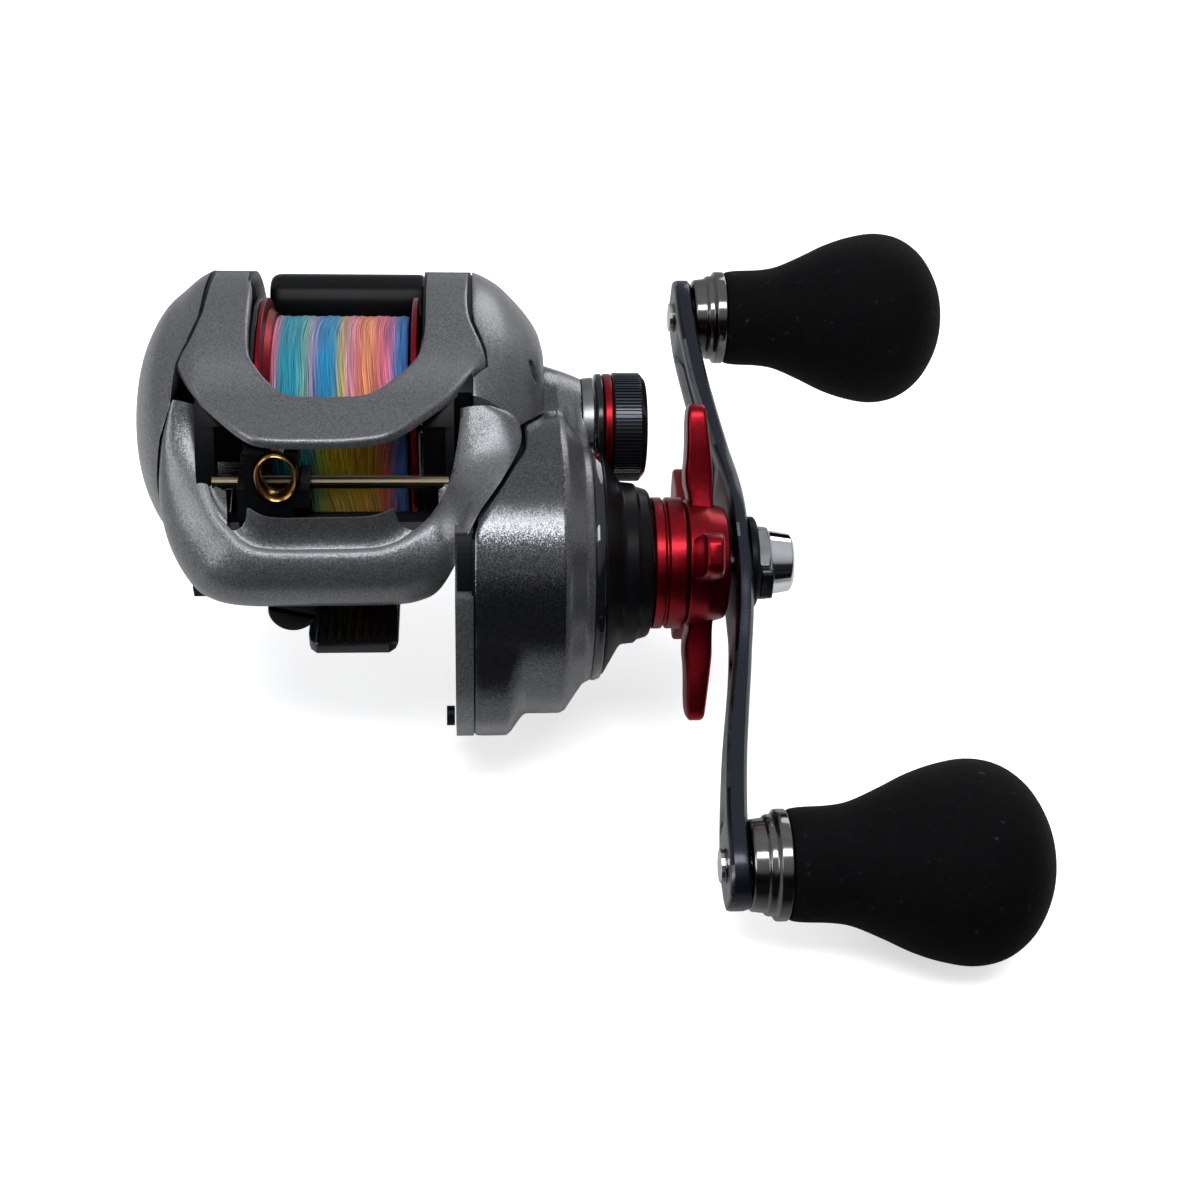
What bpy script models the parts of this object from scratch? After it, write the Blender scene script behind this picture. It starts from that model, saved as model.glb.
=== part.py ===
"""Low-profile baitcasting reel. X runs across the spool to the handle, Y to the rear, Z up, in metres."""

import math

import bmesh
import bpy

MM = 0.001
SPOOL_AXIS = (-2.2, -2.7, 22.0)  # spool axis centre above the centre of the foot underside
DRIVE_AXIS = (-16.5, -13.8)  # (y, z) of the crank axis from the spool axis
CASE_CENTRE = (2.5, 0.3)
CASE_HALF_LENGTH = 25.5
CASE_HALF_HEIGHT = 20.8
SPOOL_OPENING_R = 19.6
BARREL_R = 22.2
BARREL_BORE_R = 20.8
FLANGE_GROWTH = 3.2
WORM_AXIS = (-23.5, -3.5)
ROD_AXIS = (-22.3, 4.0)
IDLER_AXIS = (-12.72, -4.32)
GUIDE_X = -7.6
MODULE = 0.485
DRIVE_TEETH = 79
PINION_TEETH = 10
TRAIN_MODULE = 0.6
TRAIN_TEETH = (14, 20, 16)  # drive shaft gear, idler, worm gear
HANDLE_R = 50.0
HANDLE_TILT = math.radians(20)

GUNMETAL = ((0.16, 0.165, 0.175), 0.75, 0.38)
BLACK = ((0.015, 0.015, 0.017), 0.2, 0.4)
RED = ((0.45, 0.02, 0.03), 0.8, 0.25)
STEEL = ((0.6, 0.6, 0.6), 1.0, 0.25)
CHROME = ((0.75, 0.75, 0.76), 1.0, 0.1)
BRASS = ((0.6, 0.42, 0.15), 1.0, 0.3)
FOAM = ((0.02, 0.02, 0.02), 0.0, 0.9)
ARMOUR = ((0.03, 0.035, 0.05), 0.7, 0.3)
LINE = ((0.2, 0.35, 0.5), 0.0, 0.5)
CARBON = ((0.04, 0.04, 0.04), 0.0, 0.5)


def clear_scene():
    for obj in list(bpy.data.objects):
        bpy.data.objects.remove(obj, do_unlink=True)


def make(name, faces):
    """A mesh object from faces given as lists of points in mm from the spool axis."""
    index = {}
    points = []
    polygons = []
    for face in faces:
        ring = []
        for x, y, z in face:
            key = (round(x, 4), round(y, 4), round(z, 4))
            if key not in index:
                index[key] = len(points)
                points.append(key)
            if index[key] not in ring:
                ring.append(index[key])
        if len(ring) > 2:
            polygons.append(ring)
    mesh = bpy.data.meshes.new(name)
    mesh.from_pydata(points, [], polygons)
    shape = bmesh.new()
    shape.from_mesh(mesh)
    bmesh.ops.triangulate(shape, faces=shape.faces)
    bmesh.ops.recalc_face_normals(shape, faces=shape.faces)
    if shape.calc_volume(signed=True) < 0:
        bmesh.ops.reverse_faces(shape, faces=shape.faces)
    shape.to_mesh(mesh)
    shape.free()
    obj = bpy.data.objects.new(name, mesh)
    bpy.context.scene.collection.objects.link(obj)
    return obj


def finish(obj, look):
    """Moves a finished shape from millimetres at the spool axis to metres at the foot, and colours it."""
    for vertex in obj.data.vertices:
        vertex.co = [(v + s) * MM for v, s in zip(vertex.co, SPOOL_AXIS)]
    colour, metallic, roughness = look
    material = bpy.data.materials.new(obj.name)
    material.use_nodes = True
    shader = material.node_tree.nodes["Principled BSDF"]
    shader.inputs["Base Color"].default_value = (*colour, 1)
    shader.inputs["Metallic"].default_value = metallic
    shader.inputs["Roughness"].default_value = roughness
    obj.data.materials.clear()
    obj.data.materials.append(material)
    return obj


def loft(name, rings, wrap=False):
    """Skins rings with equal point counts; the ends are capped unless the rings wrap round."""
    faces = []
    count = len(rings)
    size = len(rings[0])
    for i in range(count if wrap else count - 1):
        first = rings[i]
        second = rings[(i + 1) % count]
        for j in range(size):
            k = (j + 1) % size
            faces.append([first[j], first[k], second[k], second[j]])
    if not wrap:
        faces.append(rings[0][::-1])
        faces.append(rings[-1])
    return make(name, faces)


def lathe(name, profile, axis=(0, 0), segments=24, phase=0.0):
    """Turns a closed (x, r) profile round an axis parallel to X."""
    rings = []
    for i in range(segments):
        a = phase + 2 * math.pi * i / segments
        rings.append([(x, axis[0] + r * math.cos(a), axis[1] + r * math.sin(a)) for x, r in profile])
    return loft(name, rings, wrap=True)


def disc(name, x0, x1, r, axis=(0, 0), segments=24, phase=0.0):
    return lathe(name, [(x0, 0), (x0, r), (x1, r), (x1, 0)], axis, segments, phase)


def tube(name, x0, x1, inner, outer, axis=(0, 0), segments=24, phase=0.0):
    return lathe(name, [(x0, inner), (x0, outer), (x1, outer), (x1, inner)], axis, segments, phase)


def prism(name, outline, x0, x1):
    """Extrudes a (y, z) outline along X."""
    return loft(name, [[(x, y, z) for y, z in outline] for x in (x0, x1)])


def plan_prism(name, outline, z0, z1):
    """Extrudes an (x, y) outline along Z."""
    return loft(name, [[(x, y, z) for x, y in outline] for z in (z0, z1)])


def box(name, x0, x1, y0, y1, z0, z1):
    return prism(name, [(y0, z0), (y1, z0), (y1, z1), (y0, z1)], x0, x1)


def circle(r, centre=(0, 0), count=24, phase=0.0):
    turn = [phase + 2 * math.pi * i / count for i in range(count)]
    return [(centre[0] + r * math.cos(a), centre[1] + r * math.sin(a)) for a in turn]


def case_outline(scale=1.0, inset=0.0, count=40):
    """The side outline of the case, an oval, shrunk by a factor and then inset."""
    points = []
    for i in range(count):
        a = 2 * math.pi * (i + 0.5) / count
        y = (CASE_HALF_LENGTH * scale - inset) * math.cos(a)
        z = (CASE_HALF_HEIGHT * scale - inset) * math.sin(a)
        points.append((CASE_CENTRE[0] + y, CASE_CENTRE[1] + z))
    return points


def boolean(target, tools, operation="DIFFERENCE"):
    for tool in tools if isinstance(tools, (list, tuple)) else [tools]:
        modifier = target.modifiers.new("cut", "BOOLEAN")
        modifier.operation = operation
        modifier.solver = "EXACT"
        modifier.object = tool
        bpy.context.view_layer.update()
        graph = bpy.context.evaluated_depsgraph_get()
        mesh = bpy.data.meshes.new_from_object(target.evaluated_get(graph))
        target.modifiers.clear()
        target.data = mesh
        bpy.data.objects.remove(tool, do_unlink=True)
    return target


def keep_largest(obj):
    """Removes islands that a cut left behind."""
    shape = bmesh.new()
    shape.from_mesh(obj.data)
    left = set(shape.verts)
    islands = []
    while left:
        stack = [left.pop()]
        island = set(stack)
        while stack:
            for edge in stack.pop().link_edges:
                for vert in edge.verts:
                    if vert in left:
                        left.discard(vert)
                        island.add(vert)
                        stack.append(vert)
        islands.append(island)
    islands.sort(key=len)
    for island in islands[:-1]:
        bmesh.ops.delete(shape, geom=list(island), context="VERTS")
    shape.to_mesh(obj.data)
    shape.free()
    return obj


def lerp(table, x):
    """Piecewise linear value at x of a table of (x, value)."""
    if x <= table[0][0]:
        return table[0][1]
    for (x0, v0), (x1, v1) in zip(table, table[1:]):
        if x <= x1:
            return v0 + (v1 - v0) * (x - x0) / (x1 - x0)
    return table[-1][1]


# How far the case outline has drawn in at each station across the reel.
LEFT_DOME = [(-18.8, 1.0), (-20.5, 0.957), (-22.6, 0.875), (-25.1, 0.77), (-27.0, 0.635), (-28.6, 0.456)]
LEFT_DOME += [(-29.5, 0.26)]
RIGHT_DOME = [(19.8, 1.0), (21.2, 0.975), (23.6, 0.91), (25.7, 0.82), (28.0, 0.7), (29.6, 0.58), (30.3, 0.47)]


def dome_scale(x):
    if x < 0:
        return lerp(sorted(LEFT_DOME), x)
    return lerp(RIGHT_DOME, x)


def top_height(x, y):
    """Height of the painted skin over a point in plan: the case oval, flattening to the hood at the front."""
    s = dome_scale(x)
    y0 = CASE_CENTRE[0] + (y - CASE_CENTRE[0]) / s
    t = min(1.0, ((y0 - CASE_CENTRE[0]) / CASE_HALF_LENGTH) ** 2)
    oval = CASE_CENTRE[1] + CASE_HALF_HEIGHT * math.sqrt(1 - t)
    hood = 14.8 + 0.145 * (y0 + 16)
    blend = max(0.0, 1.2 - abs(oval - hood)) ** 2 / 4.8
    return CASE_CENTRE[1] + s * (max(oval, hood) + blend - CASE_CENTRE[1])


def flange_outline(extra=0.0, count=48):
    """The gear case outline: round above, and flanged out below."""
    points = []
    for i in range(count):
        a = 2 * math.pi * i / count
        down = math.degrees(math.acos(max(-1, min(1, math.cos(a + math.pi / 2)))))
        grow = max(0.0, min(1.0, (95 - down) / 35))
        r = BARREL_R + extra + FLANGE_GROWTH * grow * grow * (3 - 2 * grow)
        points.append((DRIVE_AXIS[0] + r * math.cos(a), DRIVE_AXIS[1] + r * math.sin(a)))
    return points


def gear(name, teeth, module, axis, x0, x1, bore, phase, tip=0.82, root=1.2, thickness=0.86):
    """A spur gear; thickness is the share of the full tooth width that leaves running play."""
    pitch = 2 * math.pi / teeth
    r = module * teeth / 2
    outline = []
    for i in range(teeth):
        middle = phase + i * pitch
        for radius, half in (
            (r - root * module, 0.33),
            (r + tip * module, 0.125),
        ):
            for side in (-1, 1) if radius > r else (-1,):
                a = middle + side * half * thickness * pitch
                outline.append((radius, a))
        a = middle + 0.33 * thickness * pitch
        outline.append((r - root * module, a))
    points = [(axis[0] + q * math.cos(a), axis[1] + q * math.sin(a)) for q, a in outline]
    obj = prism(name, points, x0, x1)
    if bore:
        boolean(obj, disc("bore", x0 - 1, x1 + 1, bore, axis, 20))
    return obj


def direction(a, b):
    return math.atan2(b[1] - a[1], b[0] - a[0])


def meshing_phase(from_teeth, from_phase, angle, to_teeth):
    """Phase of a gear that lies at this angle from another, so that their teeth interleave."""
    pitch = 2 * math.pi / from_teeth
    offset = (from_phase - angle) % pitch
    return angle + math.pi - offset * from_teeth / to_teeth + math.pi / to_teeth


clear_scene()

# --- Front bumper: a lip that sweeps round the line window, and the lower edge it falls to.
BUMPER = [
    ((-19.6, -15.6, 10.6), (-21.8, -15.0, 12.3)),
    ((-19.4, -16.4, 9.6), (-22.6, -15.5, 10.8)),
    ((-18.9, -18.6, 7.3), (-23.8, -16.9, 6.5)),
    ((-18.2, -21.4, 5.0), (-24.5, -17.6, 0.5)),
    ((-17.5, -23.9, 3.1), (-24.2, -18.2, -4.0)),
    ((-16.2, -26.6, 1.0), (-22.9, -20.2, -8.2)),
    ((-14.3, -28.5, -0.4), (-20.6, -23.6, -11.2)),
    ((-12.4, -30.0, -1.5), (-17.8, -26.8, -12.2)),
    ((-9.2, -31.0, -2.2), (-12.6, -28.8, -12.4)),
    ((-2.0, -31.2, -2.3), (-2.0, -29.0, -12.4)),
    ((5.9, -31.0, -2.2), (8.4, -28.8, -12.4)),
    ((9.2, -30.3, -1.7), (12.4, -28.4, -11.9)),
    ((11.1, -29.4, -1.0), (14.8, -28.8, -10.0)),
    ((13.5, -27.7, 0.2), (16.9, -30.0, -5.5)),
    ((15.0, -25.7, 1.7), (18.3, -31.4, -0.8)),
    ((16.3, -23.5, 3.4), (20.4, -30.2, 3.7)),
    ((17.2, -20.2, 5.9), (23.7, -26.0, 6.6)),
    ((18.0, -17.6, 8.2), (26.4, -20.2, 8.6)),
    ((18.5, -16.2, 10.3), (26.3, -16.9, 9.9)),
    ((18.8, -15.6, 11.6), (23.4, -15.6, 12.4)),
]


def bumper_section(lip, low, grow=0.0):
    """One closed section of the bumper: lip, bulged face, lower edge and the inner wall back up."""
    middle = [(a + b) / 2 for a, b in zip(lip, low)]
    out = (middle[0], middle[1] + 8.0, middle[2] - 2.0)
    length = math.hypot(*out)
    out = [v / length for v in out]
    depth = math.dist(lip, low)
    down = [(b - a) / depth for a, b in zip(lip, low)]
    section = []
    rows = [(t, grow) for t in (0.0, 0.12, 0.4, 0.75, 1.0)] + [(t, -1.5 - grow) for t in (1.0, 0.75, 0.4, 0.0)]
    for t, shift in rows:
        bulge = 0.24 * depth * 4 * t * (1 - t) * (1.15 - 0.3 * t) + shift
        end = grow * ((t == 1.0) - (t == 0.0))
        section.append(tuple(a + d * (depth * t + end) + o * bulge for a, d, o in zip(lip, down, out)))
    return section


def hull(name, points):
    """The convex solid round these points."""
    shape = bmesh.new()
    for point in points:
        shape.verts.new(point)
    result = bmesh.ops.convex_hull(shape, input=shape.verts)
    loose = [item for item in result["geom_interior"] + result["geom_unused"] if isinstance(item, bmesh.types.BMVert)]
    bmesh.ops.delete(shape, geom=list(set(loose)), context="VERTS")
    bmesh.ops.recalc_face_normals(shape, faces=shape.faces)
    mesh = bpy.data.meshes.new(name)
    shape.to_mesh(mesh)
    shape.free()
    obj = bpy.data.objects.new(name, mesh)
    bpy.context.scene.collection.objects.link(obj)
    return obj


def bumper_rooms(first=0, last=19):
    """Convex cutters, one per stretch of the bumper, that leave a gap all round it."""
    sections = [bumper_section(lip, low, 0.35) for lip, low in BUMPER]
    ahead = [tuple(1.3 * p - 0.3 * q for p, q in zip(a, b)) for a, b in zip(sections[0], sections[1])]
    behind = [tuple(1.3 * p - 0.3 * q for p, q in zip(a, b)) for a, b in zip(sections[-1], sections[-2])]
    sections = [ahead] + sections[1:-1] + [behind]
    rooms = []
    for a, b in list(zip(sections, sections[1:]))[first:last]:
        points = list(a) + list(b)
        middle = [sum(axis) / len(points) for axis in zip(*points)]
        grown = [tuple(m + 1.03 * (p - m) for p, m in zip(point, middle)) for point in points]
        rooms.append(hull("room", grown))
    return rooms


# --- Frame: two rings joined by the hood, the floor and two pillars.
HOOD_FRONT = [(-21.3, -10.9), (-19.0, -15.6), (-15.6, -20.2), (-11.2, -25.2), (-7.9, -26.8), (-2.0, -27.0)]
HOOD_FRONT += [(3.0, -26.8), (7.4, -25.9), (10.4, -23.9), (14.2, -19.7), (19.3, -14.1), (21.6, -11.7)]
HOOD_REAR = [(-21.3, -10.2), (-19.9, -8.0), (-18.6, -4.2), (-18.4, -6.0), (-12.9, -6.0), (-11.3, -10.8)]
HOOD_REAR += [(-10.3, -12.6), (-8.6, -14.6), (-6.6, -16.3), (-2.5, -17.0), (1.7, -16.9), (6.3, -15.9)]
HOOD_REAR += [(8.6, -14.2), (11.0, -12.2), (12.2, -10.4), (12.8, -6.0), (19.2, -3.0), (19.8, -5.2), (21.4, -9.4)]
HOOD_REAR += [(21.6, -11.0)]
HOOD_STATIONS = [-21.3, -20.6, -19.9, -19.0, -18.45, -17.0, -15.0, -12.8, -11.2, -9.4, -7.9, -6.6, -2.0, 2.0]
HOOD_STATIONS += [6.3, 8.6, 10.4, 11.6, 12.8, 14.2, 17.0, 19.2, 19.8, 20.6, 21.4, 21.6]

hood_rings = []
for x in HOOD_STATIONS:
    front = lerp(HOOD_FRONT, x)
    rear = lerp(HOOD_REAR, x)
    rows = [rear + (front - rear) * t for t in (0, 0.2, 0.4, 0.6, 0.8, 1)]
    top = [(x, y, top_height(x, y)) for y in rows]
    under = [(x, y, top_height(x, y) - 1.4) for y in rows[::-1]]
    lip = [(x, front - 0.35, top_height(x, front) - 0.7)]
    hood_rings.append(top + lip + under)

frame = prism("frame", case_outline(), -18.5, -12.7)
parts = [
    prism("lug", [(-17, -10), (-26.2, -7.5), (-26.2, 7.0), (-17, 10)], -18.5, -15.9),
    prism("wall", case_outline(), 12.7, 19.6),
    prism("gear_wall", flange_outline(), 17.1, 19.6),
    box("floor", -14, 14, -11, 15, -20.7, -19.2),
    disc("rear_pillar", -14, 14, 1.7, (22.6, -7.5), 12),
    disc("front_pillar", -14, 14, 1.4, (-18.2, -11.3), 12),
]
boolean(frame, parts, "UNION")
boolean(frame, loft("hood", hood_rings), "UNION")
boolean(frame, [
    disc("opening", -18.7, 12.7, SPOOL_OPENING_R, (0, 0), 40),
    box("window", -15.85, 15.9, -30, -18.9, -10.2, 11.0),
    disc("pocket", 15.2, 20, 17.2, (0, 0), 32),
])
boolean(frame, disc("cam_boss", 14.0, 16.7, 4.35, (0, 0), 20, 0.05), "UNION")
cuts = [
    disc("pinion_hole", 12, 18, 3.9, (0, 0), 20),
    disc("shaft_hole", 16.5, 20.3, 2.4, DRIVE_AXIS, 18, 0.07),
    disc("worm_hole", 12, 20.5, 1.9, WORM_AXIS, 16),
    disc("worm_hole_left", -18.2, -15, 1.9, WORM_AXIS, 16),
    disc("rod_hole", 15.5, 18.4, 1.25, ROD_AXIS, 14),
    disc("rod_hole_left", -17.6, -15, 1.25, ROD_AXIS, 14),
    box("bar_slot", 12, 20.5, 19.2, 23.9, -6.0, 7.5),
    box("leg_slot", 15.2, 20.5, 14.0, 20.0, -6.0, 7.5),
    box("trim_low_front", 12.0, 17.1, -30, -12.5, -22, -12.6),
    box("trim_high_front", 17.1, 20.5, -40, -19.5, 1.2, 12.0),
]
boolean(frame, cuts + bumper_rooms())
finish(keep_largest(frame), GUNMETAL)

finish(loft("front_bumper", [bumper_section(lip, low) for lip, low in BUMPER]), GUNMETAL)

# --- Foot.
foot = box("reel_foot", -4.3, 8.7, -27.3, 32.7, -22.0, -21.0)
for y in range(4):
    boolean(foot, box("rib", -3.6, 8.0, -26.8 + 2.2 * y, -25.5 + 2.2 * y, -21.3, -20.0), "UNION")
    boolean(foot, box("rib", -3.6, 8.0, 24.6 + 2.0 * y, 25.8 + 2.0 * y, -21.3, -20.2), "UNION")
for y in (-7.0, 11.0):
    hole = loft("rivet_hole", [[(2.2 + r * c, y + r * s, z) for c, s in circle(1, count=16)] for z, r in
                               ((-22.4, 2.3), (-21.3, 1.5), (-20.6, 1.5))])
    boolean(foot, hole)
finish(foot, BLACK)
for name, y in (("foot_rivet_front", -7.0), ("foot_rivet_rear", 11.0)):
    rivet = loft(name, [[(2.2 + r * c, y + r * s, z) for c, s in circle(1, count=16)] for z, r in
                        ((-21.95, 1.9), (-21.35, 1.2), (-20.85, 1.2))])
    finish(rivet, STEEL)

# --- Palm side plate: a domed cover with a hub for the left spool bearing.
outer = [[(x, y, z) for y, z in case_outline(s)] for x, s in LEFT_DOME]
inner = [[(x + 1.3, y, z) for y, z in case_outline(s, 1.3)] for x, s in LEFT_DOME[1:]][::-1]
rim = [[(LEFT_DOME[0][0], y, z) for y, z in case_outline(1.0, 1.4)]]
plate = loft("palm_side_plate", inner + rim + outer)
hub = tube("hub", -29.0, -17.9, 3.9, 5.4, (0, 0), 24)
boolean(plate, hub, "UNION")
SEAM_LEFT = [(-18.65, 4.8), (-18.8, -1.0), (-19.0, -4.4), (-20.3, -8.2), (-21.7, -10.4), (-22.0, -12.0)]
SEAM_LEFT += [(-22.3, -14.6), (-22.3, -40), (-5, -40), (-5, 4.8)]
SIDE_SEAM = [(12.4, -22.3), (9.0, -23.6), (6.5, -24.3), (0.5, -25.0), (-4.0, -24.7), (-8.2, -23.4), (-11.2, -21.1)]
SIDE_SEAM += [(-13.0, -18.0), (-13.0, -5.0), (12.4, -5.0)]
front_room = plan_prism("front_room", SEAM_LEFT, 12.0, 30)
side_room = loft("side_room", [[(x, y, z) for z, x in SIDE_SEAM] for y in (-40, -8)])
boolean(plate, [front_room, side_room] + bumper_rooms(0, 9))
finish(keep_largest(plate), GUNMETAL)
lever = prism("palm_release_lever", [(-19.5, -16.4), (-21.9, -15.6), (-22.4, -13.6), (-20.2, -13.4), (-17.0, -14.8)],
              -20.6, -15.2)
finish(lever, BLACK)
finish(tube("brake_dial", -22.6, -19.1, 5.8, 11.0, (0, 0), 24), BLACK)
drum = tube("brake_magnet_ring", -18.8, -7.4, 7.7, 9.4, (0, 0), 20)
boolean(drum, tube("web", -18.8, -17.6, 5.8, 8.4, (0, 0), 20), "UNION")
finish(drum, STEEL)
finish(tube("left_spool_bearing", -20.6, -18.1, 1.45, 3.6, (0, 0), 16), STEEL)

# --- Spool group.
SPOOL = [(-12.0, 10.0), (-12.0, 19.0), (-11.3, 19.2), (-10.6, 19.0), (-10.2, 17.4), (-9.0, 16.8), (-8.4, 12.0)]
SPOOL += [(10.2, 12.0), (10.9, 16.8), (11.1, 18.9), (11.6, 19.2), (12.0, 18.9), (12.0, 6.5), (7.0, 5.0)]
SPOOL += [(7.0, 1.5), (-3.6, 1.5), (-3.6, 10.0)]
finish(lathe("spool", SPOOL, (0, 0), 32), RED)
WOUND = [(-8.1, 12.3), (-8.9, 16.3), (-3, 16.55), (4, 16.5), (10.5, 16.3), (9.9, 12.3)]
finish(lathe("fishing_line", WOUND, (0, 0), 32), LINE)
spool_shaft = disc("spool_shaft", -21.2, 37.6, 1.2, (0, 0), 16)
pin = loft("pin", [[(14.1 + 0.5 * c, 0.5 * s, z) for c, s in circle(1, count=10)] for z in (-2.9, 2.9)])
finish(boolean(spool_shaft, pin, "UNION"), STEEL)
finish(tube("brake_inductor", -11.4, -4.0, 2.6, 7.0, (0, 0), 20), STEEL)

# --- Pinion and clutch.
to_drive = direction((0, 0), DRIVE_AXIS)
drive_phase = to_drive + math.pi
pinion = gear("pinion_gear", PINION_TEETH, MODULE, (0, 0), 20.2, 29.4, 0, to_drive + math.pi / PINION_TEETH)
sleeve = lathe("sleeve", [(12.9, 0), (12.9, 3.4), (17.5, 3.4), (17.5, 2.3), (19.1, 2.3), (19.1, 3.2), (20.3, 3.2),
                          (20.3, 0)], (0, 0), 20)
boolean(pinion, [sleeve, disc("journal", 29.2, 33.0, 1.85, (0, 0), 20)], "UNION")
boolean(pinion, [disc("bore", 12, 34, 1.45, (0, 0), 16), box("pin_slot", 12, 15.1, -0.8, 0.8, -5, 5)])
finish(pinion, BRASS)
finish(tube("pinion_bearing", 31.5, 33.4, 2.1, 4.0, (0, 0), 18), STEEL)
yoke_turn = math.radians(120)


def turned(points, angle):
    c = math.cos(angle)
    s = math.sin(angle)
    return [(y * c - z * s, y * s + z * c) for y, z in points]


yoke = prism("clutch_yoke", turned([(-13.6, -1.6), (-6, -3.9), (6, -3.9), (13.6, -1.6), (13.6, 1.6), (6, 3.9),
                                    (-6, 3.9), (-13.6, 1.6)], yoke_turn), 17.75, 18.85)
yoke_cuts = [disc("eye", 17, 20, 2.75, (0, 0), 20), prism("mouth", turned([(-2.75, 0), (-2.75, -6), (2.75, -6),
             (2.75, 0)], yoke_turn), 17, 20)]
for side in (-1, 1):
    centre = turned([(side * 11.6, 0)], yoke_turn)[0]
    yoke_cuts.append(disc("post_hole", 17, 20, 1.0, centre, 12))
    name = "clutch_post_upper" if side > 0 else "clutch_post_lower"
    finish(disc(name, 15.3, 22.4, 0.7, centre, 10), STEEL)
finish(boolean(yoke, yoke_cuts), STEEL)
cam = tube("clutch_cam", 15.5, 16.9, 4.65, 9.6, (0, 0), 28)
finish(boolean(cam, prism("tail", turned([(8.5, -1.6), (13.2, -1.3), (13.2, 1.3), (8.5, 1.6)], math.radians(-8)),
                          15.5, 16.9), "UNION"), STEEL)
bar = prism("clutch_bar", [(20.2, 7.0), (27.4, 8.6), (27.8, 11.6), (24.4, 13.2), (21.6, 12.4), (20.0, 9.2)],
            -12.2, 12.3)
arm = prism("arm", [(20.0, 3.4), (23.4, 3.0), (23.4, 7.0), (25.0, 9.2), (21.0, 9.4), (20.0, 7.0)], 8.0, 12.3)
link = prism("link", [(20.0, 1.4), (23.2, 1.4), (23.2, 6.8), (20.0, 6.8)], 12.0, 16.9)
leg = prism("leg", [(15.6, 0.2), (21.5, 0.2), (21.5, 3.0), (15.6, 2.0)], 15.5, 16.9)
finish(boolean(bar, [arm, link, leg], "UNION"), BLACK)

# --- Crank axis: shaft, gears and drag.
shaft = lathe("drive_shaft", [(17.4, 0), (17.4, 2.0), (19.9, 2.0), (19.9, 2.6), (58.0, 2.6),
                              (58.0, 2.2), (63.4, 2.2), (63.4, 0)], DRIVE_AXIS, 20)
finish(shaft, STEEL)
main_gear = gear("drive_gear", DRIVE_TEETH, MODULE, DRIVE_AXIS, 23.8, 27.4, 0, drive_phase)
boolean(main_gear, [disc("recess", 25.3, 28, 14.0, DRIVE_AXIS, 28), disc("bore", 23, 28, 4.0, DRIVE_AXIS, 20)])
finish(main_gear, BRASS)
finish(tube("carbon_drag_washer", 25.6, 26.3, 4.0, 13.6, DRIVE_AXIS, 24), CARBON)
finish(tube("metal_drag_washer", 26.6, 27.8, 2.9, 13.4, DRIVE_AXIS, 24), STEEL)
ratchet = gear("anti_reverse_ratchet", 12, 0.9, DRIVE_AXIS, 21.9, 23.0, 2.85, 0.1, 0.9, 1.0, 1.2)
finish(ratchet, STEEL)
to_idler = direction(DRIVE_AXIS, IDLER_AXIS)
idler_phase = meshing_phase(TRAIN_TEETH[0], to_idler, to_idler, TRAIN_TEETH[1])
to_worm = direction(IDLER_AXIS, WORM_AXIS)
worm_phase = meshing_phase(TRAIN_TEETH[1], idler_phase, to_worm, TRAIN_TEETH[2])
train_gear = gear("level_wind_drive_gear", TRAIN_TEETH[0], TRAIN_MODULE, DRIVE_AXIS, 20.2, 21.5, 2.85, to_idler)
finish(train_gear, BLACK)
finish(gear("idler_gear", TRAIN_TEETH[1], TRAIN_MODULE, IDLER_AXIS, 20.2, 21.5, 1.3, idler_phase), BLACK)
finish(gear("worm_gear", TRAIN_TEETH[2], TRAIN_MODULE, WORM_AXIS, 20.2, 21.5, 1.3, worm_phase), BLACK)
finish(tube("drag_sleeve", 28.1, 46.2, 2.9, 4.3, DRIVE_AXIS, 20), STEEL)

# --- Level wind.
worm = lathe("worm_shaft", [(-18.0, 0), (-18.0, 1.6), (-15.7, 1.6), (-15.7, 2.1), (15.7, 2.1), (15.7, 1.6), (20.0, 1.6),
                            (20.0, 1.0), (22.2, 1.0), (22.2, 0)], WORM_AXIS, 16)
finish(worm, STEEL)
guard = [(WORM_AXIS[0] + r * math.sin(a), WORM_AXIS[1] + r * math.cos(a)) for r, turns in
         ((2.85, [math.radians(v) for v in range(-145, 146, 29)]), (2.35, [math.radians(v) for v in
          range(145, -146, -29)])) for a in turns]
finish(prism("worm_guard", guard, -15.6, 15.6), BLACK)
finish(disc("guide_rod", -16.3, 16.3, 0.92, ROD_AXIS, 14), STEEL)
guide = prism("line_guide", [(-20.2, -7.0), (-26.8, -7.0), (-27.2, -4.0), (-26.8, 2.8), (-26.8, 11.2), (-24.0, 11.2),
                             (-20.4, 6.0)], GUIDE_X - 4.9, GUIDE_X + 4.9)


def oval(x, half_x, half_z, y, z, count=20):
    turn = [2 * math.pi * i / count for i in range(count)]
    return [(x + half_x * math.cos(a), y, z + half_z * math.sin(a)) for a in turn]


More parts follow.
